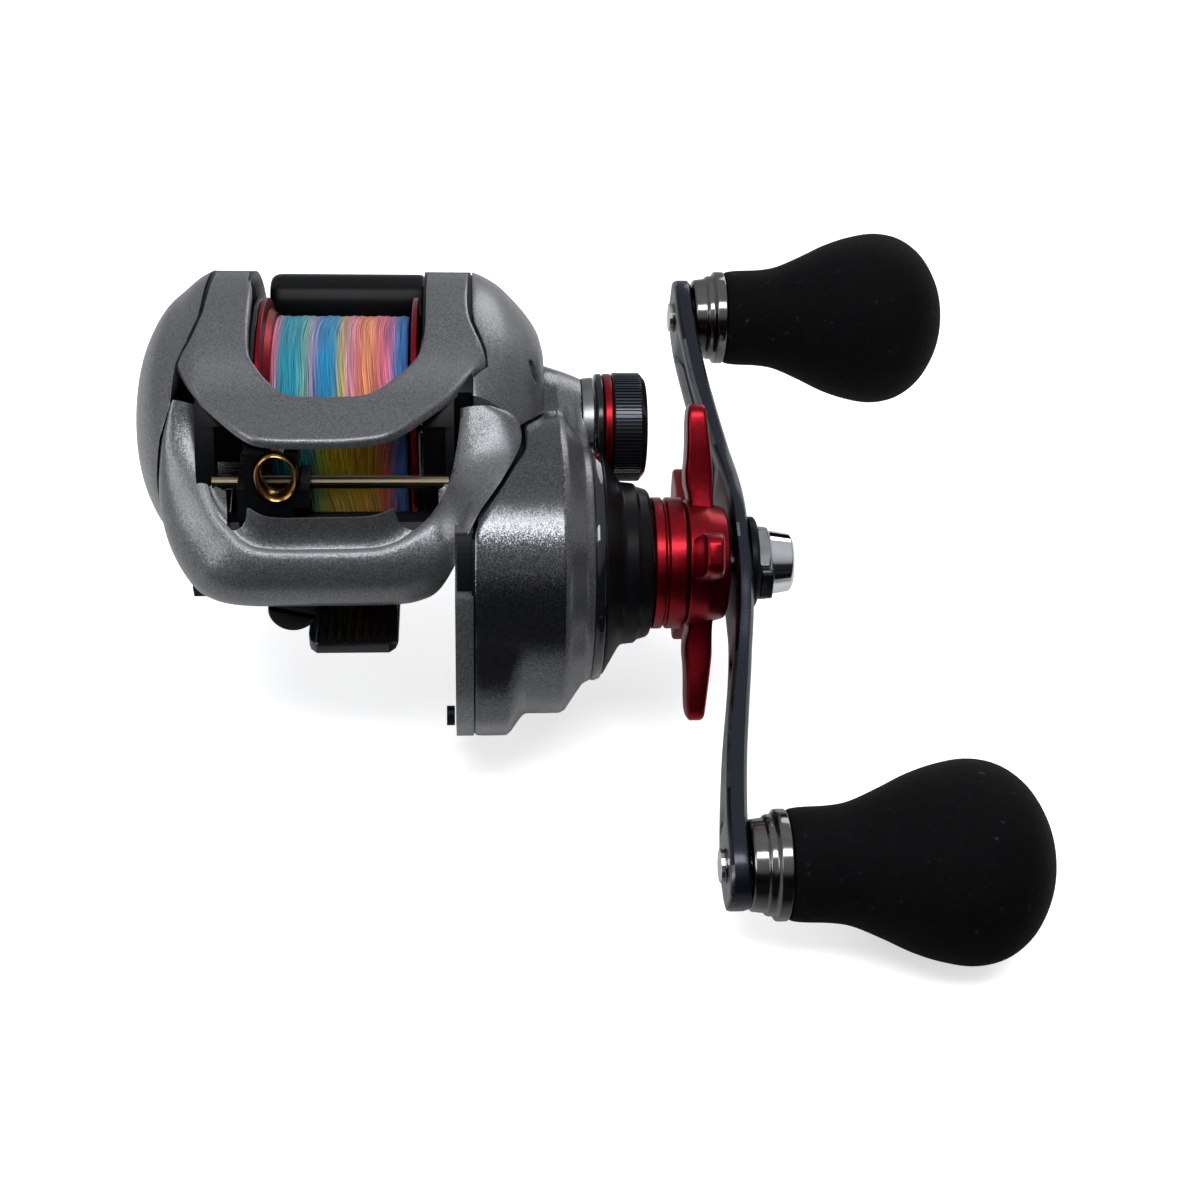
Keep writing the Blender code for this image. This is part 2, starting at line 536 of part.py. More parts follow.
trims = [
    disc("guard_hole", -13, -2, 3.15, WORM_AXIS, 20),
    disc("rod_hole", -13, -2, 1.2, ROD_AXIS, 14),
    loft("eye_room", [oval(GUIDE_X, 3.55, 4.35, y, 7.2) for y in (-30, -18)]),
    box("shoulder_left", GUIDE_X - 6, GUIDE_X - 3.7, -30, -18, 5.6, 13),
    box("shoulder_right", GUIDE_X + 3.7, GUIDE_X + 6, -30, -18, 5.6, 13),
]
boolean(guide, trims)
boolean(guide, loft("pawl_room", [[(GUIDE_X + 1.3 * c, WORM_AXIS[0] + 1.3 * s, z) for c, s in circle(1, count=14)]
                                  for z in (-7.5, -5.0)]))
finish(keep_largest(guide), BLACK)
rings = []
for i in range(28):
    t = 2 * math.pi * i / 28
    ring = []
    for y, hx, hz in ((-27.5, 2.5, 3.5), (-27.9, 2.9, 3.7), (-27.4, 3.3, 4.1), (-24.0, 3.3, 4.1), (-23.6, 2.6, 3.6),
                      (-25.6, 2.1, 3.15)):
        ring.append((GUIDE_X + hx * math.cos(t), y, 7.2 + hz * math.sin(t)))
    rings.append(ring)
finish(loft("line_guide_eyelet", rings, wrap=True), BRASS)
pawl = loft("pawl", [[(GUIDE_X + r * c, WORM_AXIS[0] + r * s, z) for c, s in circle(1, count=12)] for z, r in
                     ((-7.2, 1.0), (-6.9, 1.0), (-6.5, 0.95), (-6.0, 0.6))])
finish(pawl, BRASS)
cap = loft("pawl_cap", [[(GUIDE_X + r * c, WORM_AXIS[0] + r * s, z) for c, s in circle(1, count=14)] for z, r in
                        ((-8.6, 1.9), (-8.4, 2.1), (-7.5, 2.1))])
finish(cap, STEEL)

# --- Gear cover and the shell behind it.
BARREL = [(19.9, 17.0), (19.9, BARREL_R), (32.5, BARREL_R), (33.6, 21.4), (35.7, 17.9), (37.6, 17.2), (37.6, 9.6)]
BARREL += [(32.0, 9.6), (32.0, 17.0)]
cover = lathe("gear_cover", BARREL, DRIVE_AXIS, 44)
lobe = lathe("lobe", [(19.9, 0), (19.9, 9.6), (30.5, 9.4), (33.4, 8.0), (34.4, 7.4), (34.4, 0)], (0, 0), 36)
flange = loft("flange", [[(x, y, z) for y, z in flange_outline(e)] for x, e in ((19.9, 0), (24.1, 0), (27.4, -2.6))])
boolean(cover, [flange, lobe, prism("plate", case_outline(1.0, 3.3), 19.9, 21.4)], "UNION")
cover_cuts = [
    disc("gear_room", 19, 32.4, BARREL_BORE_R, DRIVE_AXIS, 48),
    disc("clutch_room", 19, 31.3, 6.0, (0, 0), 24),
    disc("train_room", 19, 23.0, 16.4, (0, 0), 32),
    disc("bearing_room", 30, 33.7, 4.2, (0, 0), 20),
    disc("shaft_room", 33, 36, 2.2, (0, 0), 16),
    disc("seat_room", 34.5, 42, 7.3, (0, 0), 28, 0.03),
    disc("clutch_bore", 32, 40, 9.6, DRIVE_AXIS, 28),
    box("bar_room", 19, 22, 13.0, 24.4, -6.2, 7.8),
]
boolean(cover, cover_cuts + bumper_rooms(11))
finish(keep_largest(cover), GUNMETAL)
CAP = [(37.9, 9.9), (37.9, 16.8), (38.6, 16.4), (40.4, 12.4), (41.4, 12.0), (43.6, 11.9), (44.2, 10.8), (46.2, 10.6),
       (46.2, 8.8), (38.2, 8.8)]
finish(boolean(lathe("clutch_housing", CAP, DRIVE_AXIS, 32), disc("notch", 37, 42, 8.5, (0, 0), 28)), BLACK)
finish(tube("roller_clutch", 38.5, 45.5, 4.6, 8.5, DRIVE_AXIS, 24), STEEL)
dome = [[(x, y, z) for y, z in case_outline(s)] for x, s in RIGHT_DOME]
dome_in = [[(x - 1.3, y, z) for y, z in case_outline(s, 1.3)] for x, s in RIGHT_DOME[1:]][::-1]
dome_rim = [[(RIGHT_DOME[0][0] + 0.05, y, z) for y, z in case_outline(1.0, 1.4)]]
shell = loft("gear_side_shell", dome_in + dome_rim + dome)
room = disc("cover_room", 18, 40, BARREL_R + 0.35, DRIVE_AXIS, 48)
lobe_room = disc("lobe_room", 18, 40, 9.95, (0, 0), 36)
flange_room = prism("flange_room", flange_outline(0.35), 19, 28)
SEAM_RIGHT = [(19.0, 4.2), (19.7, 4.2), (19.55, -1.0), (20.1, -5.2), (21.8, -9.3), (22.0, -12.0), (19.6, -14.6)]
SEAM_RIGHT += [(18.0, -16.0)]
hood_room = plan_prism("hood_room", SEAM_RIGHT, 3.0, 30)
boolean(shell, [room, lobe_room, flange_room, hood_room] + bumper_rooms(11))
finish(keep_largest(shell), GUNMETAL)
screw_at = (DRIVE_AXIS[0] + 23.4 * math.cos(math.radians(-112)), DRIVE_AXIS[1] + 23.4 * math.sin(math.radians(-112)))
finish(disc("cover_screw", 15.6, 16.8, 1.5, screw_at, 16), BLACK)

# --- Cast control on the spool axis.
SEAT = [(34.7, 3.6), (34.7, 6.9), (37.8, 6.9), (37.8, 8.0), (40.0, 8.0), (40.0, 6.2), (44.2, 6.2), (44.2, 5.0),
        (38.0, 5.0), (38.0, 4.2), (35.2, 4.2), (35.2, 3.6)]
finish(lathe("cast_control_seat", SEAT, (0, 0), 24), STEEL)
finish(tube("right_spool_bearing", 35.4, 37.4, 1.45, 3.9, (0, 0), 18), STEEL)
KNOB = [(41.5, 6.5), (41.5, 8.1), (45.8, 8.2), (46.6, 7.2), (46.6, 0), (44.6, 0), (44.6, 6.5)]
finish(lathe("cast_control_cap", KNOB, (0, 0), 36), BLACK)
finish(tube("cast_control_ring", 40.2, 41.2, 6.5, 8.0, (0, 0), 36), RED)

# --- Star drag.
star = tube("star_drag", 51.9, 57.4, 4.4, 8.6, DRIVE_AXIS, 30)
for degrees in (60, 0, -60, -120, 150):
    a = math.radians(degrees)
    blade = []
    for r, x, thick, half in ((7.0, 52.2, 3.2, 4.0), (12.5, 51.7, 3.4, 3.0), (16.5, 51.3, 3.9, 3.7),
                              (20.5, 51.5, 3.3, 3.9), (23.4, 52.0, 2.2, 2.4)):
        ring = []
        for dx, side in ((0, -0.8), (thick, -0.8), (thick, 0.8), (0, 0.8)):
            y = r * math.cos(a) - side * half * math.sin(a)
            z = r * math.sin(a) + side * half * math.cos(a)
            ring.append((x + dx, DRIVE_AXIS[0] + y, DRIVE_AXIS[1] + z))
        blade.append(ring)
    boolean(star, loft("blade", blade), "UNION")
boolean(star, disc("nut_room", 51, 58, 4.6, DRIVE_AXIS, 24))
finish(star, RED)
finish(tube("drag_nut", 51.9, 54.6, 3.2, 4.3, DRIVE_AXIS, 6), BRASS)
CLICK = [(46.6, 4.7), (46.6, 9.8), (48.2, 9.8), (48.2, 9.3), (48.8, 9.3), (48.8, 9.8), (51.5, 9.8), (51.5, 4.7)]
finish(lathe("drag_click_ring", CLICK, DRIVE_AXIS, 32), RED)

# --- Handle: a swept bar, flat over the hub and bent inwards at both ends.
along = (math.cos(HANDLE_TILT), math.sin(HANDLE_TILT))
across = (-along[1], along[0])
SWEEP = [(-55.6, 52.9, 2.4), (-54.2, 52.9, 4.6), (-50, 52.9, 5.8), (-43, 53.2, 5.4), (-32, 54.6, 4.6), (-20, 57.0, 5.0),
         (-9, 58.4, 7.2), (0, 58.5, 8.2), (9, 58.4, 7.2), (20, 57.0, 5.0), (32, 54.6, 4.6), (43, 53.2, 5.4),
         (50, 52.9, 5.8), (54.2, 52.9, 4.6), (55.6, 52.9, 2.4)]
handle_rings = []
for r, x, half in SWEEP:
    ring = []
    for dx, side in ((0, -0.82), (0.5, -1), (2.4, -1), (2.9, -0.82), (2.9, 0.82), (2.4, 1), (0.5, 1), (0, 0.82)):
        y = DRIVE_AXIS[0] + r * along[0] + side * half * across[0]
        z = DRIVE_AXIS[1] + r * along[1] + side * half * across[1]
        ring.append((x + dx, y, z))
    handle_rings.append(ring)
handle = loft("handle_arm", handle_rings)
FRONT = tuple(DRIVE_AXIS[i] - HANDLE_R * along[i] for i in (0, 1))
REAR = tuple(DRIVE_AXIS[i] + HANDLE_R * along[i] for i in (0, 1))
handle_cuts = [disc("shaft_hole", 50, 65, 2.9, DRIVE_AXIS, 20)]
handle_cuts += [disc("post_hole", 50, 60, 1.9, centre, 16) for centre in (FRONT, REAR)]
finish(boolean(handle, handle_cuts), ARMOUR)
finish(tube("handle_hub_washer", 61.7, 62.6, 2.9, 7.8, DRIVE_AXIS, 28), BLACK)
nut = tube("handle_nut", 62.9, 64.8, 2.8, 6.0, DRIVE_AXIS, 6)
boolean(nut, lathe("dome", [(64.6, 0), (64.6, 4.5), (67.2, 3.9), (67.2, 0)], DRIVE_AXIS, 28), "UNION")
finish(nut, CHROME)
for label, centre in (("front", FRONT), ("rear", REAR)):
    post = lathe("knob_post_" + label, [(52.2, 0), (52.2, 2.3), (52.7, 2.3), (52.7, 1.6), (90.0, 1.6), (90.0, 0)],
                 centre, 16)
    finish(post, STEEL)
    collar = [(56.1, 1.9), (56.1, 6.1), (58.4, 6.6), (59.4, 6.6), (59.6, 7.4), (61.0, 7.4), (61.0, 1.9)]
    finish(lathe("knob_collar_" + label, collar, centre, 28), CHROME)
    foam = [(61.3, 1.9), (61.3, 7.3), (63.5, 7.7), (67, 7.8), (72, 9.2), (77, 11.6), (82, 13.3), (86, 13.9), (90, 13.0),
            (93.6, 10.4), (96.2, 6.0), (97.2, 0), (90.6, 0), (90.6, 1.9)]
    finish(lathe("knob_" + label, foam, centre, 28), FOAM)

# --- Slotted screw under the bumper.
lock = loft("slotted_screw", [[(-6.1 + r * c, y, -14.6 + r * s) for c, s in circle(1, count=20)] for y, r in
                              ((-27.4, 2.9), (-27.0, 3.4), (-24.6, 3.4), (-24.6, 1.4), (-21.0, 1.4))])
boolean(lock, box("slot", -10, -2, -28, -26.6, -15.0, -14.2))
finish(lock, BLACK)
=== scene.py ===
import math
from math import cos, dist, hypot, pi, radians, sin

import bmesh
import bpy
from mathutils import Matrix, Vector


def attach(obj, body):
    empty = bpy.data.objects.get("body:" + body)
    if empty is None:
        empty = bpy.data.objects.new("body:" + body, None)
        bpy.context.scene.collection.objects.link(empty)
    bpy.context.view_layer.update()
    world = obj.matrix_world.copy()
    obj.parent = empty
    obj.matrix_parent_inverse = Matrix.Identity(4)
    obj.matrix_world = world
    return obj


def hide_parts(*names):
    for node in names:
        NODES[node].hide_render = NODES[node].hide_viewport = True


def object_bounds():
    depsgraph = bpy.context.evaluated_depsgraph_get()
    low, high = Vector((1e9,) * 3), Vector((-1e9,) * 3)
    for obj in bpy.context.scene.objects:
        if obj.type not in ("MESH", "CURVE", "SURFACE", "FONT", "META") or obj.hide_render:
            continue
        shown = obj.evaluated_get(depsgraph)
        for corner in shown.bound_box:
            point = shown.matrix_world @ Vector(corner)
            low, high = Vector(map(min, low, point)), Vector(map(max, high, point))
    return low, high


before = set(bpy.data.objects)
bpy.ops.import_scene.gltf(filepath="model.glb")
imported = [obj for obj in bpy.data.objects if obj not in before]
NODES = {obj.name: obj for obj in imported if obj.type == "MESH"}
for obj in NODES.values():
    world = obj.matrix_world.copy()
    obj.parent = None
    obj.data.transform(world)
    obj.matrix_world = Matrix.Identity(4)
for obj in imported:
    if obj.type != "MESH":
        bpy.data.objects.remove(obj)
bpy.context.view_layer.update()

# ---------------------------------------------------------------- layout, mm from the spool axis centre
SPOOL_AXIS = (-2.2, -2.7, 22.0)
DRIVE = (-16.5, -13.8)
CASE = (2.5, 0.3)
CASE_A, CASE_B = 25.5, 20.8
BARREL_R = 22.2
WORM = (-23.5, -3.5)
ROD = (-22.3, 4.0)
GUIDE_X = -7.6
TILT = radians(20)
ALONG = (cos(TILT), sin(TILT))
FRONT = (DRIVE[0] - 50 * ALONG[0], DRIVE[1] - 50 * ALONG[1])
REAR = (DRIVE[0] + 50 * ALONG[0], DRIVE[1] + 50 * ALONG[1])


def place(p):
    return Vector([(v + s) / 1000 for v, s in zip(p, SPOOL_AXIS)])


# ---------------------------------------------------------------- mesh tools
def obj_from(name, faces, sharp=35):
    index, points, polygons = {}, [], []
    for face in faces:
        ring = []
        for p in face:
            key = tuple(round(v, 4) for v in p)
            if key not in index:
                index[key] = len(points)
                points.append(place(key))
            if index[key] not in ring:
                ring.append(index[key])
        if len(ring) > 2:
            polygons.append(ring)
    mesh = bpy.data.meshes.new(name)
    mesh.from_pydata(points, [], polygons)
    bm = bmesh.new()
    bm.from_mesh(mesh)
    bmesh.ops.recalc_face_normals(bm, faces=bm.faces)
    if bm.calc_volume(signed=True) < 0:
        bmesh.ops.reverse_faces(bm, faces=bm.faces)
    bm.to_mesh(mesh)
    bm.free()
    obj = bpy.data.objects.new(name, mesh)
    bpy.context.scene.collection.objects.link(obj)
    if sharp:
        smooth(obj, sharp)
    return obj


def smooth(obj, angle=35):
    for poly in obj.data.polygons:
        poly.use_smooth = True
    split = obj.modifiers.new("sharp_edges", "EDGE_SPLIT")
    split.split_angle = radians(angle)
    return obj


def loft(name, rings, wrap=False, sharp=35):
    faces = []
    count, size = len(rings), len(rings[0])
    for i in range(count if wrap else count - 1):
        a, b = rings[i], rings[(i + 1) % count]
        for j in range(size):
            k = (j + 1) % size
            faces.append([a[j], a[k], b[k], b[j]])
    if not wrap:
        faces += [rings[0][::-1], rings[-1]]
    return obj_from(name, faces, sharp)


def rounded(profile, radius=0.25, steps=3, closed=True):
    """Corner-rounded copy of a polygon; a corner keeps at most 0.4 of its shorter side."""
    out = []
    n = len(profile)
    for i, p in enumerate(profile):
        a, b = profile[i - 1], profile[(i + 1) % n]
        if p[1] == 0 or (not closed and i in (0, n - 1)):
            out.append(p)
            continue
        da, db = dist(p, a), dist(p, b)
        r = min(radius, 0.4 * da, 0.4 * db)
        if r < 1e-4:
            out.append(p)
            continue
        pa = [p[k] + (a[k] - p[k]) * r / da for k in (0, 1)]
        pb = [p[k] + (b[k] - p[k]) * r / db for k in (0, 1)]
        for s in range(steps + 1):
            t = s / steps
            out.append(tuple((1 - t) ** 2 * pa[k] + 2 * t * (1 - t) * p[k] + t * t * pb[k] for k in (0, 1)))
    return out


def lathe(name, profile, axis=(0, 0), segments=96, radius=0.25, wave=None, sharp=35):
    """Turns a closed (x, r) profile; wave(x, r, turn) may change the radius, as for knurling."""
    profile = rounded(profile, radius)
    rings = []
    for i in range(segments):
        a = 2 * pi * i / segments
        ring = []
        for x, r in profile:
            q = wave(x, r, a) if wave else r
            ring.append((x, axis[0] + q * cos(a), axis[1] + q * sin(a)))
        rings.append(ring)
    return loft(name, rings, True, sharp)


def spline(points, count):
    """Catmull-Rom curve through points of any dimension, evenly spaced in the parameter."""
    out = []
    last = len(points) - 1
    for i in range(count):
        u = i * last / (count - 1)
        k = min(int(u), last - 1)
        t = u - k
        p0, p1, p2, p3 = (points[max(0, min(last, k + d))] for d in (-1, 0, 1, 2))
        out.append(tuple(0.5 * (2 * b + (c - a) * t + (2 * a - 5 * b + 4 * c - d) * t * t
            + (3 * b - a - 3 * c + d) * t ** 3) for a, b, c, d in zip(p0, p1, p2, p3)))
    return out


def lerp(table, x):
    if x <= table[0][0]:
        return table[0][1]
    for (x0, v0), (x1, v1) in zip(table, table[1:]):
        if x <= x1:
            return v0 + (v1 - v0) * (x - x0) / (x1 - x0)
    return table[-1][1]


def soft(table, x):
    """Smooth value at x of a table of (x, value)."""
    if x <= table[0][0]:
        return table[0][1]
    if x >= table[-1][0]:
        return table[-1][1]
    k = next(i for i in range(len(table) - 1) if x <= table[i + 1][0])
    pts = [table[max(0, min(len(table) - 1, k + d))] for d in (-1, 0, 1, 2)]
    h = pts[2][0] - pts[1][0]
    t = (x - pts[1][0]) / h
    m1 = (pts[2][1] - pts[0][1]) / max(1e-6, pts[2][0] - pts[0][0]) * h
    m2 = (pts[3][1] - pts[1][1]) / max(1e-6, pts[3][0] - pts[1][0]) * h
    return ((2 * t ** 3 - 3 * t * t + 1) * pts[1][1] + (t ** 3 - 2 * t * t + t) * m1
        + (3 * t * t - 2 * t ** 3) * pts[2][1] + (t ** 3 - t * t) * m2)


def prism(name, outline, x0, x1, sharp=35):
    return loft(name, [[(x, y, z) for y, z in outline] for x in (x0, x1)], sharp=sharp)


def plan_prism(name, outline, z0, z1):
    return loft(name, [[(x, y, z) for x, y in outline] for z in (z0, z1)], sharp=0)


def boxy(name, x0, x1, y0, y1, z0, z1):
    return prism(name, [(y0, z0), (y1, z0), (y1, z1), (y0, z1)], x0, x1, sharp=0)


def disc(name, x0, x1, r, axis=(0, 0), segments=64):
    ring = [2 * pi * i / segments for i in range(segments)]
    return loft(name, [[(x, axis[0] + r * cos(a), axis[1] + r * sin(a)) for a in ring] for x in (x0, x1)],
        sharp=0)


def boolean(target, tools, operation="DIFFERENCE"):
    for tool in tools:
        cut = target.modifiers.new("cut", "BOOLEAN")
        cut.operation = operation
        cut.solver = "EXACT"
        cut.object = tool
        for other in list(target.modifiers):
            if other.type == "EDGE_SPLIT":
                target.modifiers.remove(other)
        bpy.context.view_layer.update()
        mesh = bpy.data.meshes.new_from_object(target.evaluated_get(bpy.context.evaluated_depsgraph_get()))
        target.modifiers.clear()
        target.data = mesh
        bpy.data.objects.remove(tool, do_unlink=True)
    return target


def bevel(obj, width=0.25, angle=32, segments=2):
    edge = obj.modifiers.new("round_edges", "BEVEL")
    edge.width = width / 1000
    edge.segments = segments
    edge.limit_method = "ANGLE"
    edge.angle_limit = radians(angle)
    edge.harden_normals = False
    return smooth(obj, 40)


# ---------------------------------------------------------------- materials
def new_material(name):
    mat = bpy.data.materials.new(name)
    mat.use_nodes = True
    tree = mat.node_tree
    shader = tree.nodes["Principled BSDF"]
    coord = tree.nodes.new("ShaderNodeTexCoord")
    return mat, tree, shader, coord.outputs["Object"]


def put(node, **values):
    """Sets input values of a node; an underscore in a key stands for a space in the input's name."""
    for key, value in values.items():
        node.inputs[key.replace("_", " ")].default_value = value
    return node


def add(tree, kind, **values):
    return put(tree.nodes.new(kind), **values)


def wire(source, target):
    source.id_data.links.new(source, target)


def ramp(tree, source, stops):
    node = tree.nodes.new("ShaderNodeValToRGB")
    element = node.color_ramp.elements
    while len(element) < len(stops):
        element.new(0.5)
    for item, (position, colour) in zip(element, stops):
        item.position = position
        item.color = (*colour, 1) if len(colour) == 3 else colour
    wire(source, node.inputs["Fac"])
    return node.outputs["Color"]


def colour_mix(tree, kind="MIX"):
    node = tree.nodes.new("ShaderNodeMix")
    node.data_type = "RGBA"
    node.blend_type = kind
    return node


def bump(tree, shader, height, strength, distance):
    node = add(tree, "ShaderNodeBump", Strength=strength, Distance=distance / 1000)
    wire(height, node.inputs["Height"])
    previous = shader.inputs["Normal"].links
    if previous:
        wire(previous[0].from_socket, node.inputs["Normal"])
    wire(node.outputs["Normal"], shader.inputs["Normal"])


def paint(name, dark=(0.07, 0.075, 0.083), light=(0.19, 0.2, 0.215), rough=0.36, flake=7500, metallic=0.75,
        tilt_by=0.2):
    """Metallic paint: tiny flakes that each tilt and shine a little differently, under a satin clear coat."""
    mat, tree, shader, where = new_material(name)
    cells = add(tree, "ShaderNodeTexVoronoi", Scale=flake)
    wire(where, cells.inputs["Vector"])
    grey = ramp(tree, cells.outputs["Color"], [(0.1, dark), (0.55,
        tuple((a + b) / 2 for a, b in zip(dark, light))), (0.95, light)])
    wire(grey, shader.inputs["Base Color"])
    tilt = add(tree, "ShaderNodeVectorMath")
    tilt.operation = "SUBTRACT"
    tilt.inputs[1].default_value = (0.5, 0.5, 0.5)
    wire(cells.outputs["Color"], tilt.inputs[0])
    scale = tree.nodes.new("ShaderNodeVectorMath")
    scale.operation = "SCALE"
    put(scale, Scale=tilt_by)
    wire(tilt.outputs[0], scale.inputs[0])
    geometry = tree.nodes.new("ShaderNodeNewGeometry")
    total = tree.nodes.new("ShaderNodeVectorMath")
    wire(geometry.outputs["Normal"], total.inputs[0])
    wire(scale.outputs[0], total.inputs[1])
    unit = tree.nodes.new("ShaderNodeVectorMath")
    unit.operation = "NORMALIZE"
    wire(total.outputs[0], unit.inputs[0])
    wire(unit.outputs[0], shader.inputs["Normal"])
    grain = add(tree, "ShaderNodeTexNoise", Scale=240, Detail=3)
    wire(where, grain.inputs["Vector"])
    spread = add(tree, "ShaderNodeMapRange", To_Min=rough - 0.04, To_Max=rough + 0.05)
    wire(grain.outputs["Fac"], spread.inputs["Value"])
    wire(spread.outputs["Result"], shader.inputs["Roughness"])
    put(shader, Metallic=metallic, Coat_Weight=0.35, Coat_Roughness=0.22)
    return mat


def metal(name, colour, rough=0.25, streak=0.05, scale=900, metallic=1.0, tint=0.15, coat=0.0,
        stretch=(1, 1, 1), shine=0.5):
    """Metal or plastic whose colour, roughness and surface vary finely, along a grain if stretched."""
    mat, tree, shader, where = new_material(name)
    mapping = add(tree, "ShaderNodeMapping", Scale=stretch)
    wire(where, mapping.inputs["Vector"])
    grain = add(tree, "ShaderNodeTexNoise", Scale=scale, Detail=4)
    wire(mapping.outputs["Vector"], grain.inputs["Vector"])
    low = tuple(c * (1 - tint) for c in colour)
    high = tuple(min(1, c * (1 + tint)) for c in colour)
    wire(ramp(tree, grain.outputs["Fac"], [(0.3, low), (0.7, high)]), shader.inputs["Base Color"])
    spread = add(tree, "ShaderNodeMapRange", To_Min=max(0.02, rough - streak), To_Max=rough + streak)
    wire(grain.outputs["Fac"], spread.inputs["Value"])
    wire(spread.outputs["Result"], shader.inputs["Roughness"])
    put(shader, Metallic=metallic, Coat_Weight=coat, Specular_IOR_Level=shine)
    bump(tree, shader, grain.outputs["Fac"], 0.15, 0.03)
    return mat


def foam_material(name):
    """Closed-cell foam: matt black with fine open cells and a few paler specks."""
    mat, tree, shader, where = new_material(name)
    cells = add(tree, "ShaderNodeTexVoronoi", Scale=1900)
    wire(where, cells.inputs["Vector"])
    fine = add(tree, "ShaderNodeTexNoise", Scale=1500, Detail=8, Roughness=0.7)
    wire(where, fine.inputs["Vector"])
    specks = add(tree, "ShaderNodeTexNoise", Scale=900, Detail=2)
    wire(where, specks.inputs["Vector"])
    tone = ramp(tree, specks.outputs["Fac"], [(0.5, (0.0012, 0.0013, 0.0017)), (0.7, (0.0022, 0.0024, 0.003)),
        (0.79, (0.02, 0.021, 0.024))])
    wire(tone, shader.inputs["Base Color"])
    put(shader, Roughness=0.82, Specular_IOR_Level=0.08, Sheen_Weight=0.015, Sheen_Roughness=0.5)
    bump(tree, shader, cells.outputs["Distance"], 0.35, 0.12)
    bump(tree, shader, fine.outputs["Fac"], 0.5, 0.12)
    return mat


def braid_material(name):
    """Wound braid: fine strands round the spool, each its own tint, in bands that change colour across it."""
    mat, tree, shader, where = new_material(name)

    def math_node(kind, *values):
        node = tree.nodes.new("ShaderNodeMath")
        node.operation = kind
        for slot, value in zip(node.inputs, values):
            if isinstance(value, (int, float)):
                slot.default_value = value
            else:
                wire(value, slot)
        return node.outputs[0]

    split = tree.nodes.new("ShaderNodeSeparateXYZ")
    wire(where, split.inputs[0])
    x = math_node("MULTIPLY_ADD", split.outputs["X"], 1000.0, -SPOOL_AXIS[0])
    y = math_node("MULTIPLY_ADD", split.outputs["Y"], 1000.0, -SPOOL_AXIS[1])
    z = math_node("MULTIPLY_ADD", split.outputs["Z"], 1000.0, -SPOOL_AXIS[2])
    turn = math_node("ARCTAN2", z, y)
    # Two winding directions cross, so strands lean a little one way or the other.
    lean = add(tree, "ShaderNodeTexNoise", Scale=55, Detail=1)
    wire(where, lean.inputs["Vector"])
    slant = math_node("MULTIPLY", math_node("SUBTRACT", lean.outputs["Fac"], 0.5), 2.4)
    across = math_node("ADD", x, math_node("MULTIPLY", turn, slant))
    strand = tree.nodes.new("ShaderNodeCombineXYZ")
    wire(math_node("MULTIPLY", across, 8.5), strand.inputs[0])
    wire(math_node("MULTIPLY", turn, 1.0), strand.inputs[1])
    fibre = add(tree, "ShaderNodeTexNoise", Scale=1.0, Detail=3, Roughness=0.65)
    wire(strand.outputs[0], fibre.inputs["Vector"])
    shifted = math_node("MULTIPLY_ADD", math_node("SUBTRACT", fibre.outputs["Fac"], 0.5), 4.2, x)
    place_x = math_node("DIVIDE", math_node("ADD", shifted, 9.4), 20.4)
    top = ramp(tree, place_x, [(0.0, (0.8, 0.25, 0.15)), (0.04, (0.7, 0.15, 0.3)), (0.08, (0.02, 0.3, 0.42)),
        (0.2, (0.01, 0.32, 0.46)), (0.26, (0.16, 0.4, 0.3)), (0.31, (0.36, 0.25, 0.48)),
        (0.36, (0.004, 0.24, 0.5)), (0.46, (0.008, 0.3, 0.56)), (0.51, (0.5, 0.42, 0.1)),
        (0.57, (0.6, 0.24, 0.38)), (0.63, (0.75, 0.2, 0.16)), (0.7, (0.8, 0.3, 0.12)),
        (0.77, (0.75, 0.18, 0.2)), (0.84, (0.65, 0.16, 0.3)), (0.9, (0.05, 0.22, 0.55)),
        (0.97, (0.03, 0.14, 0.42))])
    # Face band on the near side below the top: the braid's own amber and teal, painted brighter to offset the
    # shade inside the window.
    face = ramp(tree, place_x, [(0.0, (0.03, 0.24, 0.3)), (0.2, (0.03, 0.34, 0.42)),
        (0.3, (0.04, 0.36, 0.36)), (0.36, (0.36, 0.55, 0.05)), (0.45, (0.85, 0.62, 0.02)),
        (0.62, (0.85, 0.5, 0.015)), (0.74, (0.6, 0.3, 0.02)), (0.82, (0.75, 0.13, 0.06)),
        (0.9, (0.06, 0.16, 0.5)), (0.97, (0.04, 0.14, 0.42))])
    blend = colour_mix(tree)
    band = add(tree, "ShaderNodeMapRange", From_Min=9.5, From_Max=6.5)
    band.interpolation_type = "SMOOTHSTEP"
    wire(z, band.inputs["Value"])
    front_only = math_node("LESS_THAN", y, 0.0)
    wire(math_node("MULTIPLY", band.outputs["Result"], front_only), blend.inputs["Factor"])
    wire(top, blend.inputs["A"])
    wire(face, blend.inputs["B"])
    shade = put(colour_mix(tree, "MULTIPLY"), Factor=1.0)
    wire(blend.outputs["Result"], shade.inputs["A"])
    fine = tree.nodes.new("ShaderNodeCombineXYZ")
    wire(math_node("MULTIPLY", across, 17.0), fine.inputs[0])
    wire(math_node("MULTIPLY", turn, 1.6), fine.inputs[1])
    thread_noise = add(tree, "ShaderNodeTexNoise", Scale=1.0, Detail=2)
    wire(fine.outputs[0], thread_noise.inputs["Vector"])
    light = ramp(tree, thread_noise.outputs["Fac"], [(0.36, (0.2, 0.2, 0.22)), (0.5, (0.9, 0.9, 0.9)),
        (0.64, (1.7, 1.65, 1.7))])
    wire(light, shade.inputs["B"])
    wire(shade.outputs["Result"], shader.inputs["Base Color"])
    put(shader, Roughness=0.42)
    bump(tree, shader, thread_noise.outputs["Fac"], 0.9, 0.35)
    return mat


